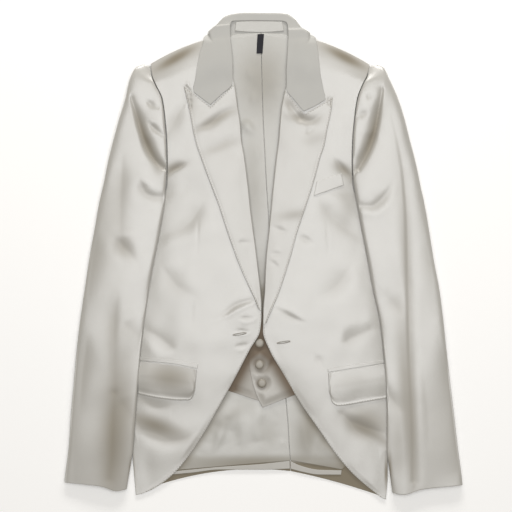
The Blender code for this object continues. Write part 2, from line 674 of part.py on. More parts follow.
def wall_about(grid, thickness):
    """Two grids, half the thickness to either side of the middle of a wall."""
    rows = len(grid)
    cols = len(grid[0])
    above = []
    below = []
    for r in range(rows):
        up = []
        down = []
        for c in range(cols):
            here = Vector(grid[r][c])
            run = Vector(grid[min(r + 1, rows - 1)][c]) - Vector(grid[max(r - 1, 0)][c])
            across = Vector(grid[r][min(c + 1, cols - 1)]) - Vector(grid[r][max(c - 1, 0)])
            normal = run.cross(across).normalized() * (thickness / 2)
            up.append(tuple(here + normal))
            down.append(tuple(here - normal))
        above.append(up)
        below.append(down)
    return above, below


def collar(below):
    """The collar in one piece, its leaves on the fronts and its fall below the back."""
    grid = []
    for row in sections(COLLAR_COLUMNS, COLLAR_SECTIONS, lambda r: (r[2:4], r[4:6]), COLLAR_STEP):
        grid.append(collar_line(row, below))
    above, under = wall_about(grid, COLLAR)
    solid("collar", above, under)


def sleeve_profile(row, width):
    """Outer line of the top sleeve in one section, as distance from the outer fold and height."""
    points = [(SLEEVE_FOLD + outer_turn(width), 0.0)]
    for angle in (270, 225, 180):
        turn = math.radians(angle)
        points.append((SLEEVE_FOLD * (1 + math.cos(turn)), SLEEVE_FOLD * (1 + math.sin(turn))))
    steps = 12
    start_z = SLEEVE_FOLD
    end_z = row["base"] + INNER_FOLD
    for i in range(1, steps):
        sweep = math.pi * i / steps
        s = (1 - math.cos(sweep)) / 2
        level = start_z + (end_z - start_z) * s
        points.append((s * width, level + (row["crown"] - level) * math.sin(sweep) ** 0.8))
    for angle in (0, -45, -90):
        turn = math.radians(angle)
        points.append((width - INNER_FOLD * (1 - math.cos(turn)),
                       row["base"] + INNER_FOLD * (1 + math.sin(turn))))
    points.append((width - INNER_FOLD - row["turn"], row["base"]))
    return points


def inset(points, thickness):
    """The line moved inwards by the thickness, for a line that runs clockwise from below."""
    moved = []
    for i, (a, z) in enumerate(points):
        before = points[max(i - 1, 0)]
        after = points[min(i + 1, len(points) - 1)]
        run = (after[0] - before[0], after[1] - before[1])
        size = math.hypot(*run)
        moved.append((a + run[1] / size * thickness, z - run[0] / size * thickness))
    return moved


def sleeve_pieces(side, rows, folds):
    """The two pieces of a sleeve: the arched top and the strip on the ground."""
    cuts = sections(SLEEVE_COLUMNS, rows, lambda r: (r[0:2], r[2:4]), SLEEVE_STEP)
    outer_grid = []
    inner_grid = []
    strip = []
    last = len(cuts) - 1
    for i, row in enumerate(cuts):
        outer = (row["outer_x"], row["outer_y"])
        inner = (row["inner_x"], row["inner_y"])
        width = math.dist(outer, inner)
        profile = sleeve_profile(row, width)
        lines = []
        for line in (profile, inset(profile, SHELL)):
            placed = []
            for k, (a, z) in enumerate(line):
                x, y = between(outer, inner, a / width)
                if i == last:
                    y -= CUFF_BOW * math.exp(-((a / width - CUFF_BOW_AT) / CUFF_BOW_WIDTH) ** 2)
                if 4 <= k < len(line) - 4:
                    z -= fold_relief(x, y, folds)
                placed.append((x, y, z))
            lines.append(placed)
        outer_grid.append(lines[0])
        inner_grid.append(lines[1])
        strip.append(strip_line(row, outer, inner, width, i == last))
    solid("top_sleeve_" + side, outer_grid, inner_grid)
    solid("under_sleeve_" + side, strip, lowered(strip, SHELL), SHADED_IVORY)


def strip_line(row, outer, inner, width, at_cuff):
    """One section of the under sleeve, from the outer wrap to the inner wrap."""
    start = SLEEVE_FOLD + outer_turn(width) + GAP
    end = width - INNER_FOLD - row["turn"] - LAID
    base = row["base"] if row["turn"] > 6 else 0.0
    line = []
    across = 4
    for c in range(across + 1):
        u = c / across
        a = start + (end - start) * u
        x, y = between(outer, inner, a / width)
        if at_cuff:
            y -= CUFF_BOW * math.exp(-((a / width - CUFF_BOW_AT) / CUFF_BOW_WIDTH) ** 2)
        line.append((x, y, SHELL + base * smooth_step((u - 0.6) / 0.4)))
    return line


def covered_button(name, place, base):
    """A domed button covered in the same satin."""
    rings = ((0.72, 0.0), (1.0, 0.35), (0.93, 0.7), (0.62, 0.92), (0.25, 1.0))
    work = bmesh.new()
    loops = []
    count = 16
    for scale, rise in rings:
        loop = []
        for i in range(count):
            angle = 2 * math.pi * i / count
            x = place[0] + BUTTON_RADIUS * scale * math.cos(angle)
            y = place[1] + BUTTON_RADIUS * scale * math.sin(angle)
            loop.append(work.verts.new(Vector((x, y, base + BUTTON_HEIGHT * rise)) * MM))
        loops.append(loop)
    for low, high in zip(loops, loops[1:]):
        for i in range(count):
            j = (i + 1) % count
            work.faces.new((low[i], low[j], high[j], high[i]))
    work.faces.new(list(reversed(loops[0])))
    work.faces.new(loops[-1])
    mesh = bpy.data.meshes.new(name)
    work.to_mesh(mesh)
    work.free()
    mesh.shade_smooth()
    mesh.set_sharp_from_angle(angle=math.radians(50))
    mesh.materials.append(cloth_material(name + "_satin", IVORY, 0.35))
    item = bpy.data.objects.new(name, mesh)
    bpy.context.collection.objects.link(item)
    return item


def clear_scene():
    """Remove whatever objects the file opened with."""
    for item in list(bpy.data.objects):
        bpy.data.objects.remove(item, do_unlink=True)


def build():
    """Make every piece of the jacket."""
    clear_scene()
    back_panel("back_right", BACK_EDGE_RIGHT, -GAP)
    back_panel("back_left", BACK_EDGE_LEFT, GAP)
    linings = Surface(
        lining_panel("lining_right", LINING_EDGE_RIGHT, -GAP, LINING_HEM_Y),
        lining_panel("lining_left", LINING_EDGE_LEFT, GAP, LINING_HEM_Y),
    )

    def on_back(x, y):
        return BACK_TOP + GAP

    def on_lining(x, y):
        return linings.height(x, y) + GAP

    laid_patch("hem_band_right", HEM_BAND_RIGHT, on_back, LIGHT, 1, BAND_STEP)
    laid_patch("hem_band_left", HEM_BAND_LEFT, on_back, LIGHT, 1, BAND_STEP)
    laid_patch("neck_tab", TAB, on_lining, LIGHT, 1, BAND_STEP, BLACK)

    for side, rows, top in (
        ("right", WAISTCOAT_RIGHT, UNDER_TOP),
        ("left", WAISTCOAT_LEFT, UPPER_TOP),
    ):
        straight_rows = [(*row, 0.0) for row in rows]
        grid = panel_grid(straight_rows, top, 5, WAISTCOAT_STEP)
        solid("waistcoat_" + side, grid, lowered(grid, WAISTCOAT))
    for i, place in enumerate(WAISTCOAT_BUTTONS):
        covered_button("waistcoat_button_%d" % (i + 1), place, UPPER_TOP + GAP)

    right = front_grid(FRONT_RIGHT, FOLDS_FRONT_RIGHT)
    left = front_grid(FRONT_LEFT, FOLDS_FRONT_LEFT)
    solid("front_right", right, lowered(right, SHELL))
    solid("front_left", left, lowered(left, SHELL))
    on_right = Surface(right)
    on_left = Surface(left)
    lapel_r = lapel_grid(LAPEL_RIGHT, NOTCH_RIGHT, on_right)
    lapel_l = lapel_grid(LAPEL_LEFT, NOTCH_LEFT, on_left)
    solid("lapel_right", lapel_r, lowered(lapel_r, SHELL))
    solid("lapel_left", lapel_l, lowered(lapel_l, SHELL))

    for side, surface, jet, flap in (
        ("right", on_right, JET_RIGHT, FLAP_RIGHT),
        ("left", on_left, JET_LEFT, FLAP_LEFT),
    ):
        def on_front(x, y, surface=surface):
            return surface.height(x, y) + LAID
        laid_patch("pocket_jet_" + side, jet, on_front, LIGHT, 1)
        laid_patch("pocket_flap_" + side, flap, on_front, FLAP, 4)

    def on_chest(x, y):
        return on_left.height(x, y) + LAID

    laid_patch("breast_welt", BREAST_WELT, on_chest, FLAP)

    sleeve_pieces("right", SLEEVE_RIGHT, FOLDS_SLEEVE_RIGHT)
    sleeve_pieces("left", SLEEVE_LEFT, FOLDS_SLEEVE_LEFT)
    collar(Surface(right, left))
    laid_patch("collar_stand", STAND, lambda x, y: FALL_TOP + GAP, COLLAR, 2, COLLAR_STEP)


build()
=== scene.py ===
"""Looks of the ivory satin tuxedo blazer, laid flat on its back with the front up.

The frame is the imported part: +Z up, the collar towards +Y, -X the wearer's right. Every table
below is in millimetres in that frame.
"""

import math

import bpy
import numpy as np
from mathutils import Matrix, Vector
from mathutils.bvhtree import BVHTree


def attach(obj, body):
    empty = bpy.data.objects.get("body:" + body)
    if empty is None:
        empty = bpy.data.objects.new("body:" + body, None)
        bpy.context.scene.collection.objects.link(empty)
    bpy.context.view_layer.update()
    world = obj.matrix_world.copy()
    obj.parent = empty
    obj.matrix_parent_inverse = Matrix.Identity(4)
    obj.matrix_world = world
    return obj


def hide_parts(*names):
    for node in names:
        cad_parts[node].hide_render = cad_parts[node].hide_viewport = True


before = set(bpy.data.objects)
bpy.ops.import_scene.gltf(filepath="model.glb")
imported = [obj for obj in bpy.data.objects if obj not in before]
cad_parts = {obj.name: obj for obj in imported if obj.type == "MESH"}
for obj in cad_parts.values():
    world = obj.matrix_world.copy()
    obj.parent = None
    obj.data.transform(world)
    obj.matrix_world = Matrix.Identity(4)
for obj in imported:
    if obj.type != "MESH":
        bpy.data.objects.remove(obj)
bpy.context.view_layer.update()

MM = 0.001
SHELL = 1.5          # satin with its interlining
LIGHT = 1.0          # lining, pocket jets and other light cloth
COLLAR = 1.2         # collar cloth
GAP = 0.3            # air between two pieces at a seam
LAID = 0.5           # air below a piece that lies on a panel
LAPEL_LAID = 0.9     # air below a lapel
LEAF_LAID = 1.3      # air below a collar leaf
BACK_TOP = SHELL
LINING_TOP = BACK_TOP + GAP + LIGHT
SIDE_EDGE = BACK_TOP + GAP + SHELL + 0.1
FALL_RISE = 1.6      # the back climbs this much over the collar fall
FLAP_CLOTH = 1.2     # pocket flaps, breast welt and waistcoat
UNDER_TOP = LINING_TOP + GAP + FLAP_CLOTH
UPPER_TOP = UNDER_TOP + GAP + FLAP_CLOTH
BUTTON_RADIUS = 7.0
BUTTON_HEIGHT = 3.0
SLEEVE_FOLD = 4.0    # radius of the outer fold of a sleeve
INNER_FOLD = 2.6     # radius of the inner fold of a sleeve
SLEEVE_TURN = 15.0   # how far the top sleeve wraps under
NECK_X = -6.0        # middle of the neck
NECK_HALF = 88.0     # half the width of the collar fall
NECK_EASE = 12.0     # beside the fall the climb fades out over this much
BACK_CLIMB = (298.0, 14.0)      # where the climb starts, and its length
LINING_CLIMB = (225.0, 65.0)

# Centre back seam of shell and lining: x and y from neck to hem
CENTRE_SEAM = (
    (-3.7, 356), (-3.2, 314), (-2.1, 266), (-0.5, 218), (1.9, 170), (4.3, 122), (7.5, 74),
    (10.7, 26), (14.7, -22), (18.7, -70), (23.5, -118), (31.5, -190), (38.7, -262),
    (41.6, -310), (43.1, -328), (43.5, -344),
)

# Outer edge of each half of the back: x and y from shoulder to hem, and the bow of that
# section towards the collar
BACK_EDGE_RIGHT = (
    (-180, 306, 13), (-178, 285, 6), (-165, 256, 0), (-157, 218, 0), (-154, 170, 0),
    (-156, 122, 0), (-166, 90, 0), (-175, 42, 0), (-186, -3, 0), (-196, -56, 0),
    (-202, -102, 0), (-209, -182, 0), (-211, -262, 0), (-210, -310, 0), (-207, -345, 8),
    (-204, -379, 16),
)
BACK_EDGE_LEFT = (
    (169, 305, 13), (165, 285, 6), (152, 256, 0), (144, 218, 0), (141, 170, 0),
    (144, 122, 0), (154, 90, 0), (165, 42, 0), (175, -5, 0), (186, -54, 0),
    (194, -102, 0), (201, -182, 0), (202, -262, 0), (200, -309, 0), (198, -345, 0),
    (194, -386, 3),
)

# Outer end of each lining section, x and y, matched to the rows of CENTRE_SEAM
LINING_EDGE_RIGHT = (
    (-60, 349), (-90, 306), (-120, 256), (-134, 218), (-134, 170), (-130, 122), (-130, 74),
    (-136, 26), (-144, -22), (-152, -70), (-158, -118), (-164, -190), (-166, -262),
    (-162, -310), (-152, -328), (-139, -342),
)
LINING_EDGE_LEFT = (
    (48, 349), (80, 306), (108, 256), (122, 218), (121, 170), (118, 122), (118, 74),
    (125, 26), (133, -22), (141, -70), (149, -118), (155, -190), (157, -262),
    (154, -310), (142, -326), (125, -341),
)
LINING_HEM_Y = -326.5

# Sections of the fronts, shoulder to tip. Edge: armhole or side. Open: neck, roll line or
# front edge. Heights are those of the upper face.
FRONT_COLUMNS = "edge_x edge_y edge_z open_x open_y open_z crown bow"
FRONT_RIGHT = (
    (-180, 307, 4.0, -63, 352, 6.6, 0.0, 6),
    (-179.7, 301, 6.4, -60, 342, 8.2, 1.5, 5),
    (-177.6, 288, 9.6, -55, 326, 9.8, 3.0, 3),
    (-172, 274, 12.0, -52, 307, 10.8, 3.5, 2),
    (-161, 250, 12.0, -47, 275, 9.2, 3.5, 0),
    (-156.6, 218, 11.0, -41.6, 237, 9.0, 4.0, 0),
    (-154, 186, 10.0, -36, 189, 9.0, 5.0, 0),
    (-153.2, 154, 9.0, -30.4, 154, 9.0, 5.5, 0),
    (-153.6, 122, 6.4, -26.4, 122, 9.0, 5.5, 0),
    (-155.2, 107, 4.8, -24.8, 107, 9.0, 5.5, 0),
    (-165.6, 90, SIDE_EDGE, -22.7, 90, 9.0, 5.5, 0),
    (-175, 42, SIDE_EDGE, -17, 42, 9.0, 5.5, 0),
    (-186, -3, SIDE_EDGE, -11.2, -3, 9.2, 5.0, 0),
    (-196, -56, SIDE_EDGE, -4.8, -56, 10.0, 4.5, 0),
    (-202, -102, SIDE_EDGE, -3.2, -96, 11.2, 3.5, 0),
    (-206, -142, SIDE_EDGE, -5.6, -120, 11.2, 3.0, 0),
    (-209, -182, SIDE_EDGE, -21.6, -149, 10.4, 3.0, 0),
    (-210.4, -222, SIDE_EDGE, -41.4, -187, 8.8, 3.5, 0),
    (-211.2, -262, SIDE_EDGE, -69.6, -238, 7.2, 3.5, 0),
    (-210.4, -302, SIDE_EDGE, -93.6, -280, 6.0, 3.0, 0),
    (-208.3, -330, SIDE_EDGE, -118.6, -318, 5.2, 2.5, 0),
    (-206.6, -350, SIDE_EDGE, -145.8, -350, 4.8, 1.5, 0),
    (-205, -370, SIDE_EDGE, -178, -373, 4.0, 0.8, 0),
    (-204, -382, SIDE_EDGE, -195, -380, 3.6, 0.2, 0),
)
FRONT_LEFT = (
    (168.8, 306, 4.0, 52, 352, 6.6, 0.0, 6),
    (168.5, 301, 6.4, 49, 342, 8.2, 1.5, 5),
    (164.8, 288, 9.6, 44, 326, 9.8, 3.0, 3),
    (158.4, 275, 12.0, 41, 307, 10.8, 3.5, 2),
    (149, 250, 12.0, 36, 272, 9.2, 3.5, 0),
    (144.5, 218, 11.0, 29, 237, 9.0, 4.0, 0),
    (141.8, 186, 10.0, 25, 189, 9.0, 5.0, 0),
    (141, 154, 9.0, 20.5, 154, 9.0, 5.5, 0),
    (142, 120, 6.4, 16.8, 120, 9.0, 5.5, 0),
    (144, 106, 4.8, 15.4, 106, 9.0, 5.5, 0),
    (154.4, 90, SIDE_EDGE, 14, 90, 9.0, 5.5, 0),
    (164.8, 42, SIDE_EDGE, 9.3, 42, 9.0, 5.5, 0),
    (175.2, -5, SIDE_EDGE, 4.6, -5, 9.2, 5.0, 0),
    (185.6, -54, SIDE_EDGE, 2.4, -54, 10.0, 4.5, 0),
    (193.6, -102, SIDE_EDGE, -0.6, -96, 11.2, 3.5, 0),
    (198, -142, SIDE_EDGE, -1.0, -120, 11.2, 3.0, 0),
    (200.8, -182, SIDE_EDGE, 10.4, -152, 10.4, 3.0, 0),
    (202.4, -222, SIDE_EDGE, 31, -187, 8.8, 3.5, 0),
    (202.4, -262, SIDE_EDGE, 58.4, -234, 7.2, 3.5, 0),
    (200.8, -302, SIDE_EDGE, 88.8, -278, 6.0, 3.0, 0),
    (198.6, -330, SIDE_EDGE, 116, -317, 5.2, 2.5, 0),
    (198.6, -352, SIDE_EDGE, 144.8, -350, 4.8, 1.5, 0),
    (197, -373, SIDE_EDGE, 170.4, -372, 4.0, 0.8, 0),
    (195.2, -389, SIDE_EDGE, 188, -385.6, 3.6, 0.2, 0),
)

# Sections of the lapels, peak to closure. Notch: how far the section dips at the gorge.
LAPEL_COLUMNS = "edge_x edge_y roll_x roll_y notch"
LAPEL_RIGHT = (
    (-126.6, 270, -47.2, 273.5, 35),
    (-122.7, 252, -45.2, 259, 24),
    (-117.6, 230, -42.4, 238, 14),
    (-113, 203, -38.9, 216, 5),
    (-107.5, 179, -36.0, 184, 0),
    (-100, 157, -31.6, 158, 0),
    (-91, 132, -28.2, 132, 0),
    (-81.6, 107, -25.2, 107, 0),
    (-69.6, 75, -21.9, 75, 0),
    (-60, 45, -18.0, 45, 0),
    (-48.2, 11, -13.4, 11, 0),
    (-36, -21, -9.6, -21, 0),
    (-21.6, -53, -5.8, -56, 0),
    (-12, -74, -4.4, -78, 0),
    (-8.4, -84, -4.4, -87, 0),
)
LAPEL_LEFT = (
    (109.6, 252, 35.0, 263, 34),
    (109, 240, 32.6, 251, 25),
    (106.4, 224, 29.6, 235, 15),
    (101.6, 202, 27.3, 211, 6),
    (97.4, 179, 25.2, 184, 0),
    (90.4, 157, 21.6, 157, 0),
    (83.2, 130, 18.6, 130, 0),
    (75.2, 102, 15.6, 102, 0),
    (64, 69, 12.6, 69, 0),
    (52.8, 35, 9.2, 35, 0),
    (44, 2, 5.6, 2, 0),
    (34.4, -29, 3.8, -29, 0),
    (24.8, -58, 2.8, -58, 0),
    (13.6, -85, 0.6, -86, 0),
    (4.6, -106, 0.2, -110, 0),
)
NOTCH_RIGHT = 0.53   # where along the top edge the gorge meets the notch
NOTCH_LEFT = 0.60
LAPEL_ROLL = ((0.5, 0.25), (1.0, 0.75), (1.35, 1.5), (1.45, 2.4))  # its roll: out and down
ROLL_INSIDE = 0.55   # the inner face follows the roll by this share

# Sections of the sleeves, shoulder to cuff. Crown: top of the arch. Base and turn: height and
# depth of the part that wraps under at the inner side.
SLEEVE_COLUMNS = "outer_x outer_y inner_x inner_y crown base turn"
SLEEVE_RIGHT = (
    (-194, 305, -180.6, 303, 6.8, 4.2, 1.0),
    (-204, 300, -178.8, 288, 11.0, 6.2, 1.0),
    (-213.6, 281, -173.4, 274, 16.0, 8.6, 1.0),
    (-220.6, 250, -162.2, 250, 18.0, 9.0, 1.0),
    (-230.2, 219, -157.6, 218, 18.5, 8.2, 1.0),
    (-239.7, 184, -155.2, 186, 18.0, 7.2, 1.0),
    (-247.2, 154, -154.4, 154, 17.5, 6.2, 1.0),
    (-254.4, 118, -154.8, 122, 17.0, 4.6, 1.0),
    (-257.6, 104, -156.4, 107, 16.8, 4.0, 1.5),
    (-261, 90, -157.4, 90, 16.5, 3.9, 8.0),
    (-269.6, 42, -164.8, 42, 16.0, 3.9, SLEEVE_TURN),
    (-277.6, -3, -173.6, -3, 16.0, 3.9, SLEEVE_TURN),
    (-285.6, -56, -183.2, -56, 15.5, 3.9, SLEEVE_TURN),
    (-292.3, -102, -189.6, -102, 15.5, 3.9, SLEEVE_TURN),
    (-297.9, -149, -196, -149, 15.5, 5.9, SLEEVE_TURN),
    (-303, -206, -200.2, -206, 15.5, 5.9, SLEEVE_TURN),
    (-306.4, -243, -203.2, -243, 15.0, 4.6, SLEEVE_TURN),
    (-311.2, -310, -208.3, -310, 14.5, 3.9, SLEEVE_TURN),
    (-315.4, -342, -213.6, -342, 13.5, 1.0, SLEEVE_TURN),
    (-317.6, -361, -218.4, -370, 12.5, 0.0, SLEEVE_TURN),
)
SLEEVE_LEFT = (
    (180.2, 305, 168.8, 303, 6.8, 4.2, 1.0),
    (190.4, 301, 166.2, 288, 11.0, 6.2, 1.0),
    (200, 283, 159.6, 275, 16.0, 8.6, 1.0),
    (214.6, 250, 150.0, 250, 18.0, 9.0, 1.0),
    (224.8, 218, 145.4, 218, 18.5, 8.2, 1.0),
    (232.8, 186, 142.6, 186, 18.0, 7.2, 1.0),
    (241.3, 154, 142.0, 154, 17.5, 6.2, 1.0),
    (248.2, 122, 143.2, 120, 17.0, 4.6, 1.0),
    (251.4, 106, 145.2, 106, 16.8, 4.0, 1.5),
    (255.2, 90, 148.2, 90, 16.5, 3.9, 8.0),
    (263.8, 42, 157.1, 42, 16.0, 3.9, SLEEVE_TURN),
    (271.2, -5, 166.2, -5, 16.0, 3.9, SLEEVE_TURN),
    (280.5, -54, 174.9, -54, 15.5, 3.9, SLEEVE_TURN),
    (286.7, -102, 185.6, -102, 15.5, 3.9, SLEEVE_TURN),
    (291.7, -149, 191.4, -149, 15.5, 5.9, SLEEVE_TURN),
    (298.1, -206, 195.5, -206, 15.5, 5.9, SLEEVE_TURN),
    (302.9, -246, 197.3, -246, 15.0, 4.6, SLEEVE_TURN),
    (310.4, -310, 196.8, -309, 14.5, 3.9, SLEEVE_TURN),
    (314.9, -342, 201.3, -342, 13.5, 1.0, SLEEVE_TURN),
    (317.6, -365, 205.6, -376, 12.5, 0.0, SLEEVE_TURN),
)
CUFF_BOW = 6.0         # the cuff edge dips this much near its inner fold
CUFF_BOW_AT = 0.83     # middle and width of the dip, as shares of the sleeve's width
CUFF_BOW_WIDTH = 0.16
CUFF_BOW_REACH = 24.0  # the dip is gone this far above the cuff edge

# Folds: width, depth, share of the depth at the first and last point, ridge beside the fold
# (on its left if positive), how much wider its left side is than its right, and the points it
# runs through. Depth below zero is a ridge.
FOLDS_FRONT_RIGHT = (
    (3.4, 1.3, 0.4, 0, 0.5, 0, ((-126.4, 269.6), (-116.8, 266.4))),
    (3.4, 1.3, 0.4, 0, 0.5, 0, ((-123.2, 261.6), (-111.2, 264.8))),
    (3.4, 1.3, 0.4, 0, 0.5, 0, ((-122.4, 253.6), (-112.8, 256.8))),
    (3.4, 1.3, 0.4, 0, 0.5, 0, ((-120.8, 245.6), (-112, 248.8))),
    (3.4, 1.3, 0.4, 0, 0.5, 0, ((-119.2, 237.6), (-112.8, 240))),
    (5, 3.0, 1, 0.05, 0, 0.5, ((-154.4, 129.6), (-140, 139.2), (-119.2, 148))),
    (10, 1.6, 0.7, 0.2, 0.2, 0, ((-154, 192), (-140, 221), (-124, 248))),
    (4.5, 1.2, 0.7, 0.1, 0.6, 0, ((-20, -70), (-44, -78), (-64, -93), (-78, -101))),
    (3.6, 0.8, 0.6, 0, 0.5, 0, ((-19, -99), (-42, -99))),
    (3.6, 0.7, 0.5, 0, 0.5, 0, ((-26, -120), (-49, -118))),
    (4.2, 0.7, 0.5, 0, 0.5, 0, ((-26, -141), (-50, -145))),
    (13, 2.2, 0.5, 0.1, 0.15, 0.3, ((-210, -274), (-178, -287), (-150, -296), (-128, -293),
     (-108, -281))),
    (2.6, 0.35, 0.4, 0.4, 0, 0, ((-104, 54), (-106, 5))),
    (2.6, 0.35, 0.4, 0.3, 0, 0, ((-112, -74), (-115, -112))),
    (7.5, 2.4, 0.3, 0.4, 0.1, 0, ((-106, 202), (-86, 210), (-66, 227), (-42, 236))),
    (8, 0.7, 0.1, 0.3, 0.4, 0, ((-95, 166), (-66, 179), (-42, 190))),
    (4.5, 0.7, 0.2, 0.5, 0.4, 0, ((-42, 21), (-20, 21))),
    (11, 1.3, 0, 0.6, 0.3, 0, ((-137, -154), (-166, -131), (-188, -118))),
    (13, 1.2, 0, 0.5, 0.3, 0, ((-92, 90), (-124, 48), (-166, 32))),
    (14, 1.1, 0, 0, 0.3, 0, ((-166, -10), (-137, -48), (-95, -70))),
    (12, 1.2, 0.4, 0, 0.3, 0, ((-194, -230), (-169, -243), (-140, -237))),
)
FOLDS_FRONT_LEFT = (
    (3.4, 1.2, 0.4, 0, 0.5, 0, ((108, 252), (100, 248))),
    (3.4, 1.2, 0.4, 0, 0.5, 0, ((107.2, 244.8), (100, 241.6))),
    (6, 3.0, 1, 0, 0, 0, ((143, 122), (132, 134), (110, 158))),
    (5, 0.9, 0.2, 0, 0.4, 0, ((55, 34), (71, 24), (86, 19))),
    (6, 0.6, 0.2, 0.2, 0.2, 0, ((82, -158), (90, -168), (95, -178))),
    (10, 3, 0.2, 0.9, 0.3, 0, ((126, -253), (151, -274), (174, -285), (199, -301))),
    (6, 1.5, 0.4, 0.9, -0.3, 0, ((36, 251), (46, 234), (58, 220))),
    (6.5, 1.6, 0.9, 0.1, 0.3, 0, ((58, 220), (73, 214), (97, 229))),
    (5, 0.8, 0, 0, 0.5, 0, ((65, 194), (86, 206))),
    (5, 0.8, 0.4, 0, 0.4, 0, ((14, 46), (28, 40), (44, 37))),
    (4, 0.6, 0.4, 0, 0.4, 0, ((10, 3), (33, 3))),
    (4, 0.6, 0.4, 0, 0.4, 0, ((9, -8), (28, -21))),
    (13, 1.3, 0, 0.5, 0.3, 0, ((84, 96), (119, 54), (151, 32))),
    (14, 1.1, 0, 0, 0.3, 0, ((142, -10), (113, -51), (74, -70))),
    (11, 1.2, 0, 0.6, 0.3, 0, ((122, -141), (148, -128), (170, -118))),
    (2.6, 0.35, 0.4, 0.4, 0, 0, ((100, 54), (103, 5))),
    (5, 1, 0.4, 0, 0.5, 0, ((22, -85), (46, -99), (74, -109))),
)
FOLDS_SLEEVE_RIGHT = (
    (30, 1.2, 0, 1, 0, 0, ((-284, -102), (-294, -182), (-300, -262), (-303, -358))),
    (5.5, 5.2, 0.35, 0.8, 0, 0.55, ((-210.4, 249.6), (-203, 226), (-196, 200), (-187, 172),
     (-174, 152), (-159.2, 139.2))),
    (9, 1.6, 0, 1, 0, 0, ((-193, 195), (-178, 166), (-166, 138))),
    (4.2, 1.6, 0.3, 0.4, 0.1, 0.3, ((-186.4, 248), (-178.4, 239.2), (-168, 235.2))),
    (4.6, 2.1, 0.3, 0.5, 0.1, 0.3, ((-183.2, 211.2), (-173.6, 201.6), (-160.8, 191.2))),
    (7.5, 1.8, 0.05, 0.7, 0.25, 0, ((-198, 125), (-194, 109), (-186, 98), (-175, 94), (-161, 93))),
    (13, 1.5, 0, 0.4, 0, 0, ((-223, 170), (-226, 122), (-228, 66), (-228, 10))),
    (10, 2.0, 0.1, 0.1, 0.2, 0, ((-239, 32), (-226, 18), (-212, 3), (-201, -10))),
    (9, 1.6, 0, 0.6, 0, 0, ((-231, -51), (-238, -102), (-239, -158), (-238, -218))),
    (9, 1.8, 0.6, 0.8, 0, 0, ((-238, -218), (-241, -270), (-242, -318), (-246, -355))),
    (13, 1.4, 0, 0, 0.3, 0, ((-262, 42), (-274, -22), (-281, -86))),
    (13, 1.2, 0, 0, 0, 0, ((-278, -118), (-287, -182), (-294, -262))),
    (12, 0.9, 0, 0.7, 0.2, 0, ((-226, -102), (-210, -118), (-194, -131))),
    (12, 0.9, 0, 0.7, 0.2, 0, ((-233, -224), (-217, -246), (-204, -262))),
)
FOLDS_SLEEVE_LEFT = (
    (24, 1.3, 0, 1, 0, 0, ((292, -134), (302, -230), (308, -342))),
    (5.5, 5.2, 0.35, 0.8, 0, -0.55,
     ((189, 264), (182, 221), (177, 195), (170, 173), (161, 154), (151, 138))),
    (9, 1.6, 0, 1, 0, 0, ((177, 202), (166, 176), (154, 154))),
    (5, 0.8, 0.3, 0.2, 0.1, 0, ((162, 253), (175, 254))),
    (6, 1.4, 0.5, 0.1, -0.1, 0, ((150, 222), (159, 226), (169, 230))),
    (7.5, 1.9, 0.6, 0.05, -0.25, 0, ((156, 80), (172, 79), (187, 89), (200, 106), (207, 122))),
    (6, 1.7, 0.1, 0.9, 0.05, 0.4, ((203, 224), (214, 176), (223, 123), (228, 54), (230, -38),
     (232, -136), (235, -214), (238, -280), (239, -358))),
    (12, 0.5, 0, 0, 0.3, 0, ((257, 29), (266, -22), (270, -70))),
    (12, 0.5, 0, 0, 0, 0, ((276, -118), (289, -182), (295, -262))),
    (12, 1.0, 0.6, 0, 0.2, 0, ((196, -64), (209, -80), (225, -99))),
    (12, 1.1, 0.7, 0, 0.2, 0, ((196, -218), (209, -234), (225, -253))),
    (9, 0.5, 0, 0, 0, 0, ((250, -166), (260, -246), (263, -326))),
)
FOLDS_LINING = (
    (9, -1.6, 0.1, 0.1, 0, 0, ((-36, 219), (-22, 205), (-1, 192))),
    (10, -1.8, 0.1, 0.1, 0, 0, ((-22, 262), (-2, 243), (18, 230))),
    (10, -1.5, 0, 0, 0, 0, ((-31, 301), (-9, 285), (23, 269))),
    (9, -1.5, 0, 0, 0, 0, ((-15, 181), (-2, 157), (9, 128))),
    (9, -1.4, 0, 0, 0, 0, ((14, 170), (1, 106), (-2, 42))),
    (9, -1.3, 0, 0, 0, 0, ((-60, -259), (-73, -294), (-82, -320))),
    (13, -1.4, 0, 0, 0, 0, ((-40, -240), (-31, -285), (-34, -318))),
    (12, -1.2, 0, 0, 0, 0, ((-5, -225), (-12, -262), (-6, -312))),
    (3.5, -0.9, 0.1, 0.1, 0, 0, ((26, -293), (41, -309))),
    (9, -1.3, 0, 0, 0, 0, ((63, -259), (68, -294), (74, -323))),
    (7, -0.8, 0, 0, 0, 0, ((95, -294), (106, -314), (113, -330))),
    (14, -1.4, 0, 0, 0, 0, ((-84, -270), (-50, -252), (-20, -240))),
)

FOLDS_WAISTCOAT = (
    (4, 1.8, 0.2, 0.5, 0.3, 0, ((-21.6, -144.8), (-8.8, -151.2), (7.2, -142.4))),
    (4.5, 2.2, 0.3, 0.6, 0.3, 0, ((-18.4, -184), (-0.8, -184.8), (15.2, -166.4))),
    (4, 1.6, 0.2, 0.2, 0.3, 0, ((-15.2, -197.6), (-2.4, -206.4), (7.2, -198.4))),
    (5, 1.5, 0.6, 0.5, 0, 0, ((-56.8, -207.2), (-37.6, -216.8), (-12, -225.6))),
)

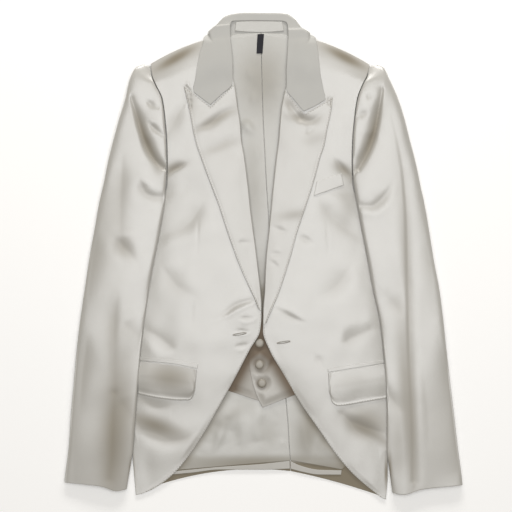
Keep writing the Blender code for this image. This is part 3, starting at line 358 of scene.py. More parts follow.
# Soft areas of painted shade on the satin: middle x and y, reach along and across, turn in
# degrees and share of shade
DARK_LAPEL_RIGHT = (
    (-77.6, 216, 32, 7.2, 28, 0.4),
    (-66.4, 174.4, 35.2, 8, 22, 0.14),
    (-114.4, 249.6, 8, 22.4, 0, 0.15),
)
DARK_LAPEL_LEFT = (
    (61.6, 219.2, 22.4, 7.2, -8, 0.36),
    (39.2, 243.2, 6.4, 12.8, 30, 0.25),
    (82.4, 185.6, 19.2, 9.6, 15, 0.12),
    (48.8, 65.6, 25.6, 8, 8, 0.2),
)
DARK_FRONT_RIGHT = (
    (-140, 315.2, 43.2, 9.6, 30.4, 0.9),
    (-143.2, 140.8, 19.2, 7.2, 20, 0.36),
    (-208.8, -345.6, 2.6, 25.6, 0, 0.8),
    (-175.2, -268.8, 44.8, 12.8, -20, 0.6),
    (-181.6, -230.4, 35.2, 11.2, 0, 0.15),
)
DARK_FRONT_LEFT = (
    (130.4, 316.8, 43.2, 9.6, -28, 0.9),
    (127.2, 137.6, 17.6, 8, -25, 0.34),
    (196, -345.6, 2.6, 22.4, 0, 0.8),
    (164, -265.6, 32, 22.4, -20, 0.48),
    (130.4, 81.6, 12.8, 38.4, 0, 0.12),
)
DARK_SLEEVE_RIGHT = (
    (-236, -294.4, 28.8, 128, -4, 0.56),
    (-248.8, 17.6, 25.6, 96, -8, 0.14),
    (-212, -355.2, 3.5, 35.2, 0, 0.95),
    (-221.6, 12.8, 14.4, 22.4, 0, 0.14),
    (-186.4, 185.6, 8, 44.8, 22, 0.42),
    (-242.4, -134.4, 16, 96, -3, 0.15),
)
DARK_SLEEVE_LEFT = (
    (223.2, 9.6, 8, 112, 4, 0.16),
    (229.6, -246.4, 12.8, 136, 4, 0.42),
    (215.2, -294.4, 16, 72, 0, 0.2),
    (200.8, -350.4, 3.5, 32, 0, 0.95),
    (172, 188.8, 8, 44.8, -18, 0.42),
    (266.4, -294.4, 41.6, 80, 0, 0.1),
)
DARK_LINING = (
    (74.4, -270.4, 20.8, 60.8, -12, 0.36),
    (-2.4, 281.6, 38.4, 54.4, 0, 0.3),
    (-18.4, 105.6, 19.2, 80, 0, 0.16),
    (-2.4, -70.4, 16, 64, 0, 0.3),
    (-21.6, -331.2, 73.6, 9.6, 3, 0.3),
    (106.4, -339.2, 64, 9.6, -3, 0.25),
    (-61.6, -262.4, 48, 11.2, 35, 0.16),
    (93.6, -294.4, 22.4, 41.6, -30, 0.2),
    (7.2, -284.8, 16, 22.4, 0, 0.12),
)
DARK_FLAP_RIGHT = (
    (-149.6, -193.6, 40, 22.4, -6, 0.55),
)
DARK_FLAP_LEFT = (
    (141.6, -198.4, 35.2, 14.4, 6, 0.12),
)

# Waistcoat fronts, top to bottom
WAISTCOAT_RIGHT = (
    (-77.6, -90, 4, -90),
    (-77.6, -134, 7.2, -142),
    (-76, -174, 7.2, -186),
    (-72.8, -205, 4, -218),
    (-66.4, -212, -2.4, -233),
)
WAISTCOAT_LEFT = (
    (77.6, -90, -22.4, -90),
    (77.6, -134, -23.5, -142),
    (76, -170, -22.6, -173),
    (74.4, -195, -17.6, -202),
    (72.8, -206, -10.4, -224),
    (71.2, -213, -1.6, -242),
)
WAISTCOAT_BUTTONS = ((-6.4, -139), (-6.4, -173.5), (-2.4, -203))

# Strips and flaps on the fronts: upper edge and lower edge, from the side seam inwards
PATCH_COLUMNS = "upper_x upper_y lower_x lower_y"
JET_RIGHT = ((-200, -160, -200, -166.6), (-151, -164, -151.6, -170.6), (-104, -172, -105.4, -179))
JET_LEFT = ((197, -164.8, 197, -170), (137.8, -174, 137.8, -179.4), (102, -179.6, 103, -185))
FLAP_RIGHT = (
    (-200, -167.8, -200, -220),
    (-181.6, -169.6, -181.6, -224),
    (-157.6, -172.8, -157.6, -228),
    (-133.6, -176, -133.6, -230),
    (-117.6, -178.9, -120, -230),
    (-109.6, -180.6, -112.5, -224),
    (-106.4, -181.4, -108.8, -211),
)
FLAP_LEFT = (
    (197, -171.2, 197, -227),
    (178.4, -174.4, 178.4, -230),
    (154.4, -178.2, 154.4, -234),
    (130.4, -182.2, 130.4, -238),
    (114.4, -184.6, 118.4, -239),
    (106.4, -186, 109.3, -233),
    (103.2, -186.6, 104.5, -216),
)
BREAST_WELT = ((85, 119, 80, 96), (124, 132, 128, 113))

# The collar, from the right leaf over the back neck to the left leaf. Fall: free edge. Bend:
# middle of a leaf, and at the back the roll. Neck: inner edge. Under: 1 where the fall lies
# below the back panel.
COLLAR_COLUMNS = "fall_x fall_y bend_x bend_y neck_x neck_y neck_z under"
COLLAR_SECTIONS = (
    (-110.8, 260.2, -97.6, 250.3, -84.6, 240.5, 9, 0),
    (-111.8, 267, -90, 261, -68.8, 255.5, 9, 0),
    (-108.6, 281.6, -80.8, 279, -49.6, 275, 9, 0),
    (-105.2, 304, -77.6, 302, -49, 296, 11, 0),
    (-100.8, 326, -76, 323, -50, 317, 11, 0),
    (-96.6, 339, -78, 336, -51.6, 334, 10, 0),
    (-95.0, 348, -84, 346, -52.8, 347, 8, 0.35),
    (-88.0, 353, -88.0, 356, -53.4, 361, 6.4, 0.85),
    (-78.0, 352, -75, 369, -52.4, 371, 4.6, 1),
    (-62.0, 346, -61.0, 382.5, -49, 375.4, 3.4, 1),
    (-44.0, 343.4, -46.0, 387.0, -40, 376, 2.4, 1),
    (-25.0, 343, -26.0, 388.4, -25, 376.2, 2.4, 1),
    (-6.4, 343, -6.4, 388, -6.4, 376.2, 2.4, 1),
    (12.0, 343, 13.0, 388, 12, 376, 2.4, 1),
    (30.0, 343.4, 34.0, 387.2, 28, 375.8, 2.4, 1),
    (46.0, 346, 49.0, 379, 36.6, 373, 3.4, 1),
    (62.0, 351, 61.0, 364.5, 39, 364, 4.6, 1),
    (74.0, 352.5, 74.0, 354.5, 39.4, 352, 6.8, 0.85),
    (83.0, 347.5, 73, 346, 39, 341, 8, 0.35),
    (85.2, 336, 66, 334, 38.4, 330, 10, 0),
    (87.4, 318, 64, 316, 37.4, 312, 11, 0),
    (90.0, 294, 64, 293, 36.4, 291, 11, 0),
    (94.2, 270, 67, 268, 36.8, 265.4, 9, 0),
    (97.8, 255, 73, 250, 48.6, 248.6, 9, 0),
    (98.4, 248.6, 82, 238.6, 63.6, 230, 9, 0),
)

# The inner collar stand across the back neck and the tab below it
STAND = (
    (-44, 374.0, -46, 360),
    (-25, 375.0, -25, 358.2),
    (-6.4, 375.2, -6.4, 357.6),
    (12, 375.0, 12, 358.2),
    (30, 374.2, 33, 360),
)
TAB = ((-9.6, 354.4, 0.8, 354.4), (-10.2, 344, 0.0, 344), (-11.2, 323.2, -1.6, 323.2))

# Hem of the back between the fronts: inner and outer edge of its turned-up band
HEM_BAND_RIGHT = (
    (-139.5, -343.6, -144.6, -349),
    (-114, -341.2, -115, -346.4),
    (-70, -337, -70, -341.4),
    (-3, -332.4, -3, -341.4),
    (41.8, -327.6, 42.4, -340),
)
HEM_BAND_LEFT = (
    (42.8, -327.6, 43.4, -340),
    (58, -334.6, 58, -344),
    (89, -341.6, 89, -349.4),
    (125, -342.6, 124, -349.6),
)

# Buttonholes, one on each front
HOLE_RIGHT = ((-27.5, -122.5), (-49.0, -126.0))
HOLE_LEFT = ((21.3, -138.9), (42.5, -135.6))

FLAP_LIFT_RIGHT = 3.0   # how far the upper part of a flap stands off its front
FLAP_LIFT_LEFT = 1.6
FLAP_LENGTH = 56.0      # from the jet to the lower edge

# Light
WORLD_STRENGTH = 0.24
KEY_POWER = 60.5
RAKE_POWER = 42.0

# Meshes: distances of the rows nearest to an edge, and the steps between all others
NEAR_EDGE = (0.0, 0.16, 0.42, 0.8, 1.4, 2.2, 3.0, 4.0)
FINE = 2.0
FRONT_STEP = 2.5
MEDIUM = 3.0
COARSE = 5.0

# Sections of the back, lining and waistcoat, as their tables above are put together
PANEL_COLUMNS = "side_x side_y middle_x middle_y bow"

# Folds, ripples and edges
FOLD_STRENGTH = 1.35
FOLD_HEAD = 0.35         # a fold grows over this share of its path
FOLD_TAIL = 0.6          # and fades over this one
NARROWEST_FOLD = 0.45    # share of its width left at its ends
LIP_AT = 1.9             # the raised lip beside a fold, in widths of the fold
LIP_WIDTH = 0.95
TROUGH_POWER = 1.35      # above 1, the trough has a rounder floor
FOLD_SHADE = 0.34        # most shade painted into a fold
DEEPEST_FOLD = 5.0       # a fold this deep has all of that shade
RIPPLES = 10             # waves added up in the uneven cloth
RIPPLE_BEND = 7.0        # how far their crests wander
EDGE_ROUND = 0.55        # radius of a cloth edge, in thicknesses
SIDE_FALL = 38.0         # how soon a front drops towards its side edge
OPEN_FALL = 26.0         # and towards its open edge
CROWN_SHARE = 0.75       # share of a section's crown that its level gains
SIDE_HELD = 30.0         # beside the side edge, folds and ripples are held down this far
OPEN_HELD = 14.0         # and beside the open edge
CUTAWAY_FROM = 13        # the sections of a front from here on form its cutaway
STITCH_INSET = 1.6       # prick stitches lie this far inside an edge
STITCH_STEP = 4.2        # distance from one prick stitch to the next
ARCH_POWER = 0.32        # below 0.5, the sleeve's arch has steep sides and a broad top
ABOVE_ALL = 200.0        # height from which the cloth below a place is looked for
MIDDLE_LEVEL = 9.0       # half the height of the jacket

# Base colours, and the shade colours that painted shade mixes towards
IVORY = (0.44, 0.43, 0.40)
SHADE = (0.19, 0.158, 0.105)
DEEP_SHADE = (0.12, 0.082, 0.048)


def smooth(value):
    """Ease from 0 to 1 as the value goes from 0 to 1."""
    clipped = np.clip(value, 0.0, 1.0)
    return clipped * clipped * (3.0 - 2.0 * clipped)


def monotone_curve(knots, values, at):
    """A smooth curve through values at knots that never overshoots them."""
    knots = np.asarray(knots, float)
    values = np.asarray(values, float)
    steps = np.diff(knots)
    rises = np.diff(values) / steps
    slopes = np.zeros(len(knots))
    slopes[0] = rises[0]
    slopes[-1] = rises[-1]
    for i in range(1, len(knots) - 1):
        if rises[i - 1] * rises[i] > 0:
            before = 2 * steps[i] + steps[i - 1]
            after = steps[i] + 2 * steps[i - 1]
            slopes[i] = (before + after) / (before / rises[i - 1] + after / rises[i])
    place = np.clip(np.searchsorted(knots, at, side="right") - 1, 0, len(steps) - 1)
    width = steps[place]
    t = (at - knots[place]) / width
    start = (1 + 2 * t) * (1 - t) ** 2 * values[place] + t * (1 - t) ** 2 * width * slopes[place]
    end = t * t * (3 - 2 * t) * values[place + 1] + t * t * (t - 1) * width * slopes[place + 1]
    return start + end


def spread(length, step):
    """Distances along a line, close together at both ends and even between them."""
    ends = np.array(NEAR_EDGE) * min(1.0, length / (5 * NEAR_EDGE[-1]))
    count = max(2, int(round((length - 2 * ends[-1]) / step)))
    middle = np.linspace(ends[-1], length - ends[-1], count + 1)[1:-1]
    return np.concatenate([ends, middle, length - ends[::-1]])


def spread_rows(lengths, step):
    """The same for many lines of different lengths, as fractions of each, with equal counts."""
    lengths = np.maximum(np.asarray(lengths, float), 0.01)
    ends = np.array(NEAR_EDGE)[None, :] * np.minimum(1.0, lengths / (5 * NEAR_EDGE[-1]))[:, None]
    ends = ends / lengths[:, None]
    count = max(2, int(round(lengths.max() / step)))
    part = np.linspace(0, 1, count + 1)[None, 1:-1]
    middle = ends[:, -1:] + (1 - 2 * ends[:, -1:]) * part
    return np.concatenate([ends, middle, 1 - ends[:, ::-1]], axis=1)


def filled(columns, rows, ends, step):
    """The rows of a table as smooth curves: {column: values}, and the distance along."""
    names = columns.split()
    middles = []
    for row in rows:
        first, second = ends(row)
        middles.append(((first[0] + second[0]) / 2, (first[1] + second[1]) / 2))
    knots = [0.0]
    for before, after in zip(middles, middles[1:]):
        knots.append(knots[-1] + max(math.dist(before, after), 0.5))
    places = spread(knots[-1], step)
    values = {}
    for i, name in enumerate(names):
        values[name] = monotone_curve(knots, [row[i] for row in rows], places)[:, None]
    return values, places


def traced(points):
    """A smooth path through points, as many short steps, with its length so far."""
    points = np.array(points, float)
    run = np.concatenate([[0.0], np.cumsum(np.linalg.norm(np.diff(points, axis=0), axis=1))])
    at = np.linspace(0, run[-1], max(4, int(run[-1] / 4)))
    if len(points) > 2:
        path = np.stack([monotone_curve(run, points[:, k], at) for k in range(2)], axis=1)
    else:
        path = np.stack([np.interp(at, run, points[:, k]) for k in range(2)], axis=1)
    return path, at / run[-1]


def fold_relief(x, y, folds):
    """How far the folds lift or lower the cloth at each point."""
    rise = np.zeros_like(x)
    for width, depth, head, tail, lip, skew, points in folds:
        path, share = traced(points)
        near = 4 * width
        low = path.min(axis=0) - near
        high = path.max(axis=0) + near
        here = np.nonzero((x > low[0]) & (x < high[0]) & (y > low[1]) & (y < high[1]))
        if len(here[0]) == 0:
            continue
        px = x[here][:, None]
        py = y[here][:, None]
        step = np.diff(path, axis=0)
        length = np.linalg.norm(step, axis=1)
        along = ((px - path[:-1, 0]) * step[:, 0] + (py - path[:-1, 1]) * step[:, 1]) / length ** 2
        kept = np.clip(along, 0, 1)
        off_x = px - (path[:-1, 0] + kept * step[:, 0])
        off_y = py - (path[:-1, 1] + kept * step[:, 1])
        away = np.hypot(off_x, off_y)
        best = np.argmin(away, axis=1)
        pick = (np.arange(len(best)), best)
        side = np.sign(step[best, 0] * off_y[pick] - step[best, 1] * off_x[pick])
        t = share[best] + (share[best + 1] - share[best]) * kept[pick]
        fade = head + (1 - head) * smooth(t / FOLD_HEAD)
        fade = np.minimum(fade, tail + (1 - tail) * smooth((1 - t) / FOLD_TAIL))
        spread_here = width * (NARROWEST_FOLD + (1 - NARROWEST_FOLD) * fade)
        spread_here = spread_here * np.where(side > 0, 1 + skew, 1 - skew)
        side = side * away[pick] / spread_here
        crest = abs(lip) * np.exp(-((side - math.copysign(LIP_AT, lip)) / LIP_WIDTH) ** 2)
        trough = np.exp(-np.abs(side) ** TROUGH_POWER)
        if depth < 0:
            trough = np.exp(-side ** 2)
        rise[here] += FOLD_STRENGTH * depth * fade * (crest - trough)
    return rise


def ripple(x, y, seed, size, shortest=26.0, longest=80.0):
    """Low uneven waves, as cloth keeps after wear."""
    rng = np.random.default_rng(seed)
    bent_x = x + RIPPLE_BEND * np.sin(y / 41.0 + seed)
    bent_y = y + RIPPLE_BEND * np.sin(x / 33.0 + 2 * seed)
    total = np.zeros_like(x)
    for _ in range(RIPPLES):
        angle = rng.uniform(0, math.pi)
        wave = 2 * math.pi / rng.uniform(shortest, longest)
        phase = rng.uniform(0, 2 * math.pi)
        total += np.sin((bent_x * math.cos(angle) + bent_y * math.sin(angle)) * wave + phase)
    return size * total / math.sqrt(RIPPLES)


def climb(x, y, start, length):
    """How far the back or its lining is lifted by the collar fall below it."""
    beside = 1.0 - smooth((np.abs(x - NECK_X) - NECK_HALF) / NECK_EASE)
    return FALL_RISE * beside * smooth((y - start) / length)


def points_of(x, y, z):
    """One array of points from arrays of coordinates."""
    x, y, z = np.broadcast_arrays(x, y, z)
    return np.stack([x, y, z], axis=-1).astype(float)


def lowered(grid, thickness):
    """The same points, straight down by the thickness."""
    moved = grid.copy()
    moved[..., 2] -= thickness
    return moved


def edge_distance(grid):
    """Distance of each point of a grid to its nearest border, along rows and columns."""
    across = np.linalg.norm(np.diff(grid, axis=1), axis=2)
    along = np.linalg.norm(np.diff(grid, axis=0), axis=2)
    run_across = np.concatenate([np.zeros((len(grid), 1)), np.cumsum(across, axis=1)], axis=1)
    run_along = np.concatenate([np.zeros((1, grid.shape[1])), np.cumsum(along, axis=0)], axis=0)
    return run_across, run_across[:, -1:] - run_across, run_along, run_along[-1:] - run_along


def rounded(top, bottom, sides, radius):
    """Both faces brought together at the given borders, so that the edge is round."""
    distance = np.minimum.reduce(sides)
    part = np.clip(1 - distance / radius, 0, 1)
    pull = 0.5 * (1 - np.sqrt(np.clip(1 - part ** 2, 0, 1)))[..., None]
    return top + (bottom - top) * pull, bottom + (top - bottom) * pull


def added(name, points, faces, material):
    """A smooth mesh with its material, put into the scene."""
    mesh = bpy.data.meshes.new(name)
    mesh.from_pydata(points, [], faces)
    mesh.shade_smooth()
    mesh.materials.append(material)
    item = bpy.data.objects.new(name, mesh)
    bpy.context.collection.objects.link(item)
    return item


def grid_faces(shape):
    """Numbers of the points of a grid, and its four-sided faces."""
    index = np.arange(shape[0] * shape[1]).reshape(shape[:2])
    quads = np.stack([index[:-1, :-1], index[:-1, 1:], index[1:, 1:], index[1:, :-1]], axis=-1)
    return index, quads.reshape(-1, 4)


def wall(name, top, bottom, material, painted_shade=None):
    """A closed wall between two grids of points in millimetres."""
    points = np.concatenate([top.reshape(-1, 3), bottom.reshape(-1, 3)]) * MM
    index, quads = grid_faces(top.shape)
    offset = index.size
    rim = np.concatenate([index[0, :], index[1:, -1], index[-1, -2::-1], index[-2:0:-1, 0]])
    after = np.roll(rim, -1)
    sides = np.stack([after, rim, rim + offset, after + offset], axis=-1)
    faces = np.concatenate([quads, quads[:, ::-1] + offset, sides])
    a, b, c, d = (points[faces[:, k]] for k in range(4))
    volume = (np.einsum("ij,ij->i", a, np.cross(b, c)) + np.einsum("ij,ij->i", a, np.cross(c, d)))
    if volume.sum() < 0:
        faces = faces[:, ::-1]
    item = added(name, points.tolist(), faces.tolist(), material)
    # The share of painted shade at each point, which the cloth material reads
    if painted_shade is not None:
        layer = item.data.attributes.new("painted_shade", "FLOAT", "POINT")
        flat = np.concatenate([painted_shade.ravel(), painted_shade.ravel()]).astype(np.float32)
        layer.data.foreach_set("value", flat)
    return item


def tree_of(grid):
    """A search tree of the upper face of a panel."""
    _, quads = grid_faces(grid.shape)
    return BVHTree.FromPolygons(grid.reshape(-1, 3).tolist(), quads.tolist())


def heights(trees, x, y):
    """Height of the highest panel under each place, or of the nearest point beside them."""
    x, y = np.broadcast_arrays(x, y)
    found = np.empty(x.size)
    down = Vector((0, 0, -1))
    for i, (px, py) in enumerate(zip(x.ravel(), y.ravel())):
        hits = [tree.ray_cast(Vector((px, py, ABOVE_ALL)), down)[0] for tree in trees]
        hits = [hit.z for hit in hits if hit is not None]
        if hits:
            found[i] = max(hits)
        else:
            near = [tree.find_nearest(Vector((px, py, MIDDLE_LEVEL))) for tree in trees]
            found[i] = min(near, key=lambda place: place[3])[0].z
    return found.reshape(x.shape)


def dress(item, node):
    """Hide the CAD node of a sheet of cloth and tie the sheet to its body."""
    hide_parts(node)
    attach(item, "root")


def between(row, first, second, step):
    """Points on straight sections between two edges: share across, width, x and y."""
    run_x = row[second + "_x"] - row[first + "_x"]
    run_y = row[second + "_y"] - row[first + "_y"]
    width = np.hypot(run_x, run_y)
    u = spread_rows(width[:, 0], step)
    return u, width, row[first + "_x"] + run_x * u, row[first + "_y"] + run_y * u


def front_surface(rows, folds, seed):
    """Upper face of a front: low at the side, crowned over the chest, with its folds."""
    row, _ = filled(FRONT_COLUMNS, rows, lambda r: (r[0:2], r[3:5]), FRONT_STEP)
    u, width, x, y = between(row, "edge", "open", FRONT_STEP)
    y = y + row["bow"] * 4 * u * (1 - u)
    from_side = u * width
    from_open = (1 - u) * width
    level = row["open_z"] + CROWN_SHARE * row["crown"]
    z = level - (level - row["edge_z"]) * np.exp(-from_side / SIDE_FALL)
    z -= (level - row["open_z"]) * np.exp(-from_open / OPEN_FALL)
    free = smooth(from_side / SIDE_HELD) * smooth(from_open / OPEN_HELD)
    relief = fold_relief(x, y, folds)
    z += relief * (0.4 + 0.6 * free)
    z += (ripple(x, y, seed, 0.55, 70, 170) + ripple(x, y, seed + 1, 0.15, 28, 60)) * free
    return points_of(x, y, z), relief


def panel_surface(rows, top, step, across_step, rise=None):
    """Upper face of a flat panel between two edges, with a bow in each section.

    The panel climbs over the collar fall where rise gives the start and length of the climb.
    """
    row, _ = filled(PANEL_COLUMNS, rows, lambda r: (r[0:2], r[2:4]), step)
    u, _, x, y = between(row, "side", "middle", across_step)
    y = y + row["bow"] * 4 * u * (1 - u)
    z = np.full_like(x, top)
    if rise is not None:
        z = z + climb(x, y, *rise)
    return points_of(x, y, z)


def sheet_piece(node, grid, thickness, material, painted_shade=None):
    """A panel with rounded edges."""
    bottom = lowered(grid, thickness)
    upper, lower = rounded(grid, bottom, edge_distance(grid), thickness * EDGE_ROUND)
    item = wall(node + "_cloth", upper, lower, material, painted_shade)
    dress(item, node)


def painted_fold_shade(relief):
    """Share of painted shade in the folds, from 0 to 1."""
    return FOLD_SHADE * np.clip(-relief / DEEPEST_FOLD, 0, 1)


def reach_to(x, y, path):
    """Distance of each point from a path of a few straight runs."""
    best = np.full(x.shape, 1e9)
    for (ax, ay), (bx, by) in zip(path, path[1:]):
        span = (bx - ax) ** 2 + (by - ay) ** 2
        part = np.clip(((x - ax) * (bx - ax) + (y - ay) * (by - ay)) / span, 0, 1)
        best = np.minimum(best, np.hypot(x - ax - part * (bx - ax), y - ay - part * (by - ay)))
    return best


def under_fronts(x, y, reach, most):
    """Painted shade beside and below the cutaway edges of the fronts, from 0 to most."""
    right = [(row[3], row[4]) for row in FRONT_RIGHT[CUTAWAY_FROM:]]
    left = [(row[3], row[4]) for row in FRONT_LEFT[CUTAWAY_FROM:]]
    away = np.minimum(reach_to(x, y, right), reach_to(x, y, left))
    return most * np.exp(-(away / reach) ** 2)


def dimmed(x, y, areas):
    """Share of painted shade in the soft patches."""
    share = np.zeros_like(x)
    for middle_x, middle_y, along, across, turn, most in areas:
        turn = math.radians(turn)
        run = (x - middle_x) * math.cos(turn) + (y - middle_y) * math.sin(turn)
        off = (y - middle_y) * math.cos(turn) - (x - middle_x) * math.sin(turn)
        share = np.maximum(share, most * np.exp(-(run / along) ** 2 - (off / across) ** 2))
    return share


def lapel_surface(rows, notch_at, trees, seed):
    """Upper face of a lapel, laid on its front, its edge puffed beside the prick stitch."""
    row, _ = filled(LAPEL_COLUMNS, rows, lambda r: (r[0:2], r[2:4]), FINE)
    u, width, x, y = between(row, "edge", "roll", FINE)
    dip = np.where(u < notch_at, u / notch_at, (1 - u) / (1 - notch_at))
    y -= row["notch"] * dip
    z = heights(trees, x, y) + LAPEL_LAID + SHELL
    from_edge = u * width
    puffed = 0.2 * np.exp(-((from_edge - STITCH_INSET) / 1.3) ** 2)
    drawn = 0.15 * np.exp(-((from_edge - 4) / 1.2) ** 2)
    z += puffed - drawn
    z += (0.3 + ripple(x, y, seed, 0.2, 50, 120)) * smooth(from_edge / 8)
    return points_of(x, y, z)


def lapel_piece(side, rows, areas, notch_at, trees, seed, material):
    """A lapel that rolls round the edge of its front."""
    grid = lapel_surface(rows, notch_at, trees, seed)
    sides = edge_distance(grid)
    top, bottom = rounded(grid, lowered(grid, SHELL), (sides[0], sides[2], sides[3]),
                          SHELL * EDGE_ROUND)
    out = -1.0 if side == "left" else 1.0
    roll_top = [top]
    roll_bottom = [bottom]
    for shift, drop in LAPEL_ROLL:
        last = top[:, -1:].copy()
        last[..., 0] += out * shift
        last[..., 2] -= drop
        roll_top.append(last)
        under = bottom[:, -1:].copy()
        under[..., 0] += out * shift * ROLL_INSIDE
        under[..., 2] -= drop * ROLL_INSIDE
        roll_bottom.append(under)
    # Painted shade: a little over the whole lapel, and more in soft patches
    shade = 0.04 + dimmed(grid[..., 0], grid[..., 1], areas)
    shade = np.concatenate([shade] + [shade[:, -1:]] * len(LAPEL_ROLL), axis=1)
    item = wall("lapel_%s_cloth" % side, np.concatenate(roll_top, axis=1),
                np.concatenate(roll_bottom, axis=1), material, shade)
    dress(item, "lapel_" + side)
    return grid


def patch_surface(rows, step, trees, thickness, lift=LAID):
    """Upper face of a strip or flap laid on what lies below."""
    row, _ = filled(PATCH_COLUMNS, rows, lambda r: (r[0:2], r[2:4]), step)
    u, _, x, y = between(row, "upper", "lower", step)
    below = heights(trees, x, y) if trees else np.full_like(x, BACK_TOP)
    return points_of(x, y, below + lift + thickness)


def sleeve_profile(row, width, steps):
    """Outer line of the top sleeve: distance from the outer fold, height, and how free it is."""
    turn = np.minimum(SLEEVE_TURN, 0.25 * width)
    base = row["base"]
    crown = row["crown"]
    lines = []
    for k in np.linspace(1, 0, 6)[:-1]:
        lines.append((SLEEVE_FOLD + turn * k, 0.0 * width, 0.0))
    for angle in np.radians(np.linspace(270, 180, 9)):
        lines.append((SLEEVE_FOLD * (1 + math.cos(angle)) + 0 * width,
                      SLEEVE_FOLD * (1 + math.sin(angle)) + 0 * width, 0.0))
    end = base + INNER_FOLD
    for sweep in math.pi * np.arange(1, steps) / steps:
        s = (1 - math.cos(sweep)) / 2
        level = SLEEVE_FOLD + (end - SLEEVE_FOLD) * s
        lines.append((s * width, level + (crown - level) * math.sin(sweep) ** ARCH_POWER,
                      float(smooth(3.0 * math.sin(sweep) - 0.2))))
    for angle in np.radians(np.linspace(0, -90, 8)):
        lines.append((width - INNER_FOLD * (1 - math.cos(angle)),
                      base + INNER_FOLD * (1 + math.sin(angle)), 0.0))
    for k in np.linspace(0, 1, 5)[1:]:
        lines.append((width - INNER_FOLD - row["turn"] * k, base, 0.0))
    a = np.concatenate([line[0] + 0 * width for line in lines], axis=1)
    z = np.concatenate([line[1] + 0 * width for line in lines], axis=1)
    free = np.array([line[2] for line in lines])[None, :]
    return a, z, free


def inset(a, z, thickness):
    """The line moved inwards by the thickness, for a line that runs clockwise from below."""
    run_a = np.gradient(a, axis=1)
    run_z = np.gradient(z, axis=1)
    size = np.maximum(np.hypot(run_a, run_z), 1e-9)
    return a + run_z / size * thickness, z - run_a / size * thickness


def cuff_dip(part, to_cuff):
    """The cuff edge dips near its inner fold."""
    near = np.exp(-((part - CUFF_BOW_AT) / CUFF_BOW_WIDTH) ** 2)
    return CUFF_BOW * near * np.clip(1 - to_cuff / CUFF_BOW_REACH, 0, 1)


def sleeve(side, rows, folds, areas, seed, satin, lining):
    """The arched top sleeve and the strip of under sleeve below it."""
    row, along = filled(SLEEVE_COLUMNS, rows, lambda r: (r[0:2], r[2:4]), FRONT_STEP)
    run_x = row["inner_x"] - row["outer_x"]
    run_y = row["inner_y"] - row["outer_y"]
    width = np.hypot(run_x, run_y)
    to_cuff = (along[-1] - along)[:, None]
    a, z, free = sleeve_profile(row, width, 64)
    a_in, z_in = inset(a, z, SHELL)
    grids = []
    for line_a, line_z in ((a, z), (a_in, z_in)):
        part = line_a / width
        x = row["outer_x"] + run_x * part
        y = row["outer_y"] + run_y * part - cuff_dip(part, to_cuff)
        relief = fold_relief(x, y, folds)
        lift = relief * np.clip(free * 1.3, 0, 1) + ripple(x, y, seed, 0.6, 60, 150) * free
        grids.append(points_of(x, y, line_z + lift))
        if len(grids) == 1:
            # Painted shade in the folds and in soft patches
            shade = np.clip(painted_fold_shade(relief) * free + dimmed(x, y, areas), 0, 0.95)
    sides = edge_distance(grids[0])
    top, bottom = rounded(grids[0], grids[1], sides, SHELL * EDGE_ROUND)
    name = "top_sleeve_" + side
    item = wall(name + "_cloth", top, bottom, satin, shade)
    dress(item, name)

    start = SLEEVE_FOLD + np.minimum(SLEEVE_TURN, 0.25 * width) + GAP
    end = width - INNER_FOLD - row["turn"] - LAID
    u = spread_rows((end - start)[:, 0], COARSE)
    line_a = start + (end - start) * u
    part = line_a / width
    base = np.where(row["turn"] > 6, row["base"], 0.0)
    x = row["outer_x"] + run_x * part
    y = row["outer_y"] + run_y * part - cuff_dip(part, to_cuff)
    z = SHELL + base * smooth((u - 0.6) / 0.4)
    sheet_piece("under_sleeve_" + side, points_of(x, y, z), SHELL, lining)


def refined(lines, count):
    """Smooth curves through the points of each row, with count points."""
    points = np.array(lines)
    steps = np.linalg.norm(np.diff(points, axis=1), axis=2)
    fine = []
    for line, step in zip(points, steps):
        knots = np.concatenate([[0.0], np.cumsum(np.maximum(step, 0.02))])
        at = spread(knots[-1], knots[-1] / count)
        at = np.interp(np.linspace(0, 1, count), np.linspace(0, 1, len(at)), at)
        fine.append([monotone_curve(knots, line[:, k], at) for k in range(3)])
    return np.transpose(np.array(fine), (0, 2, 1))


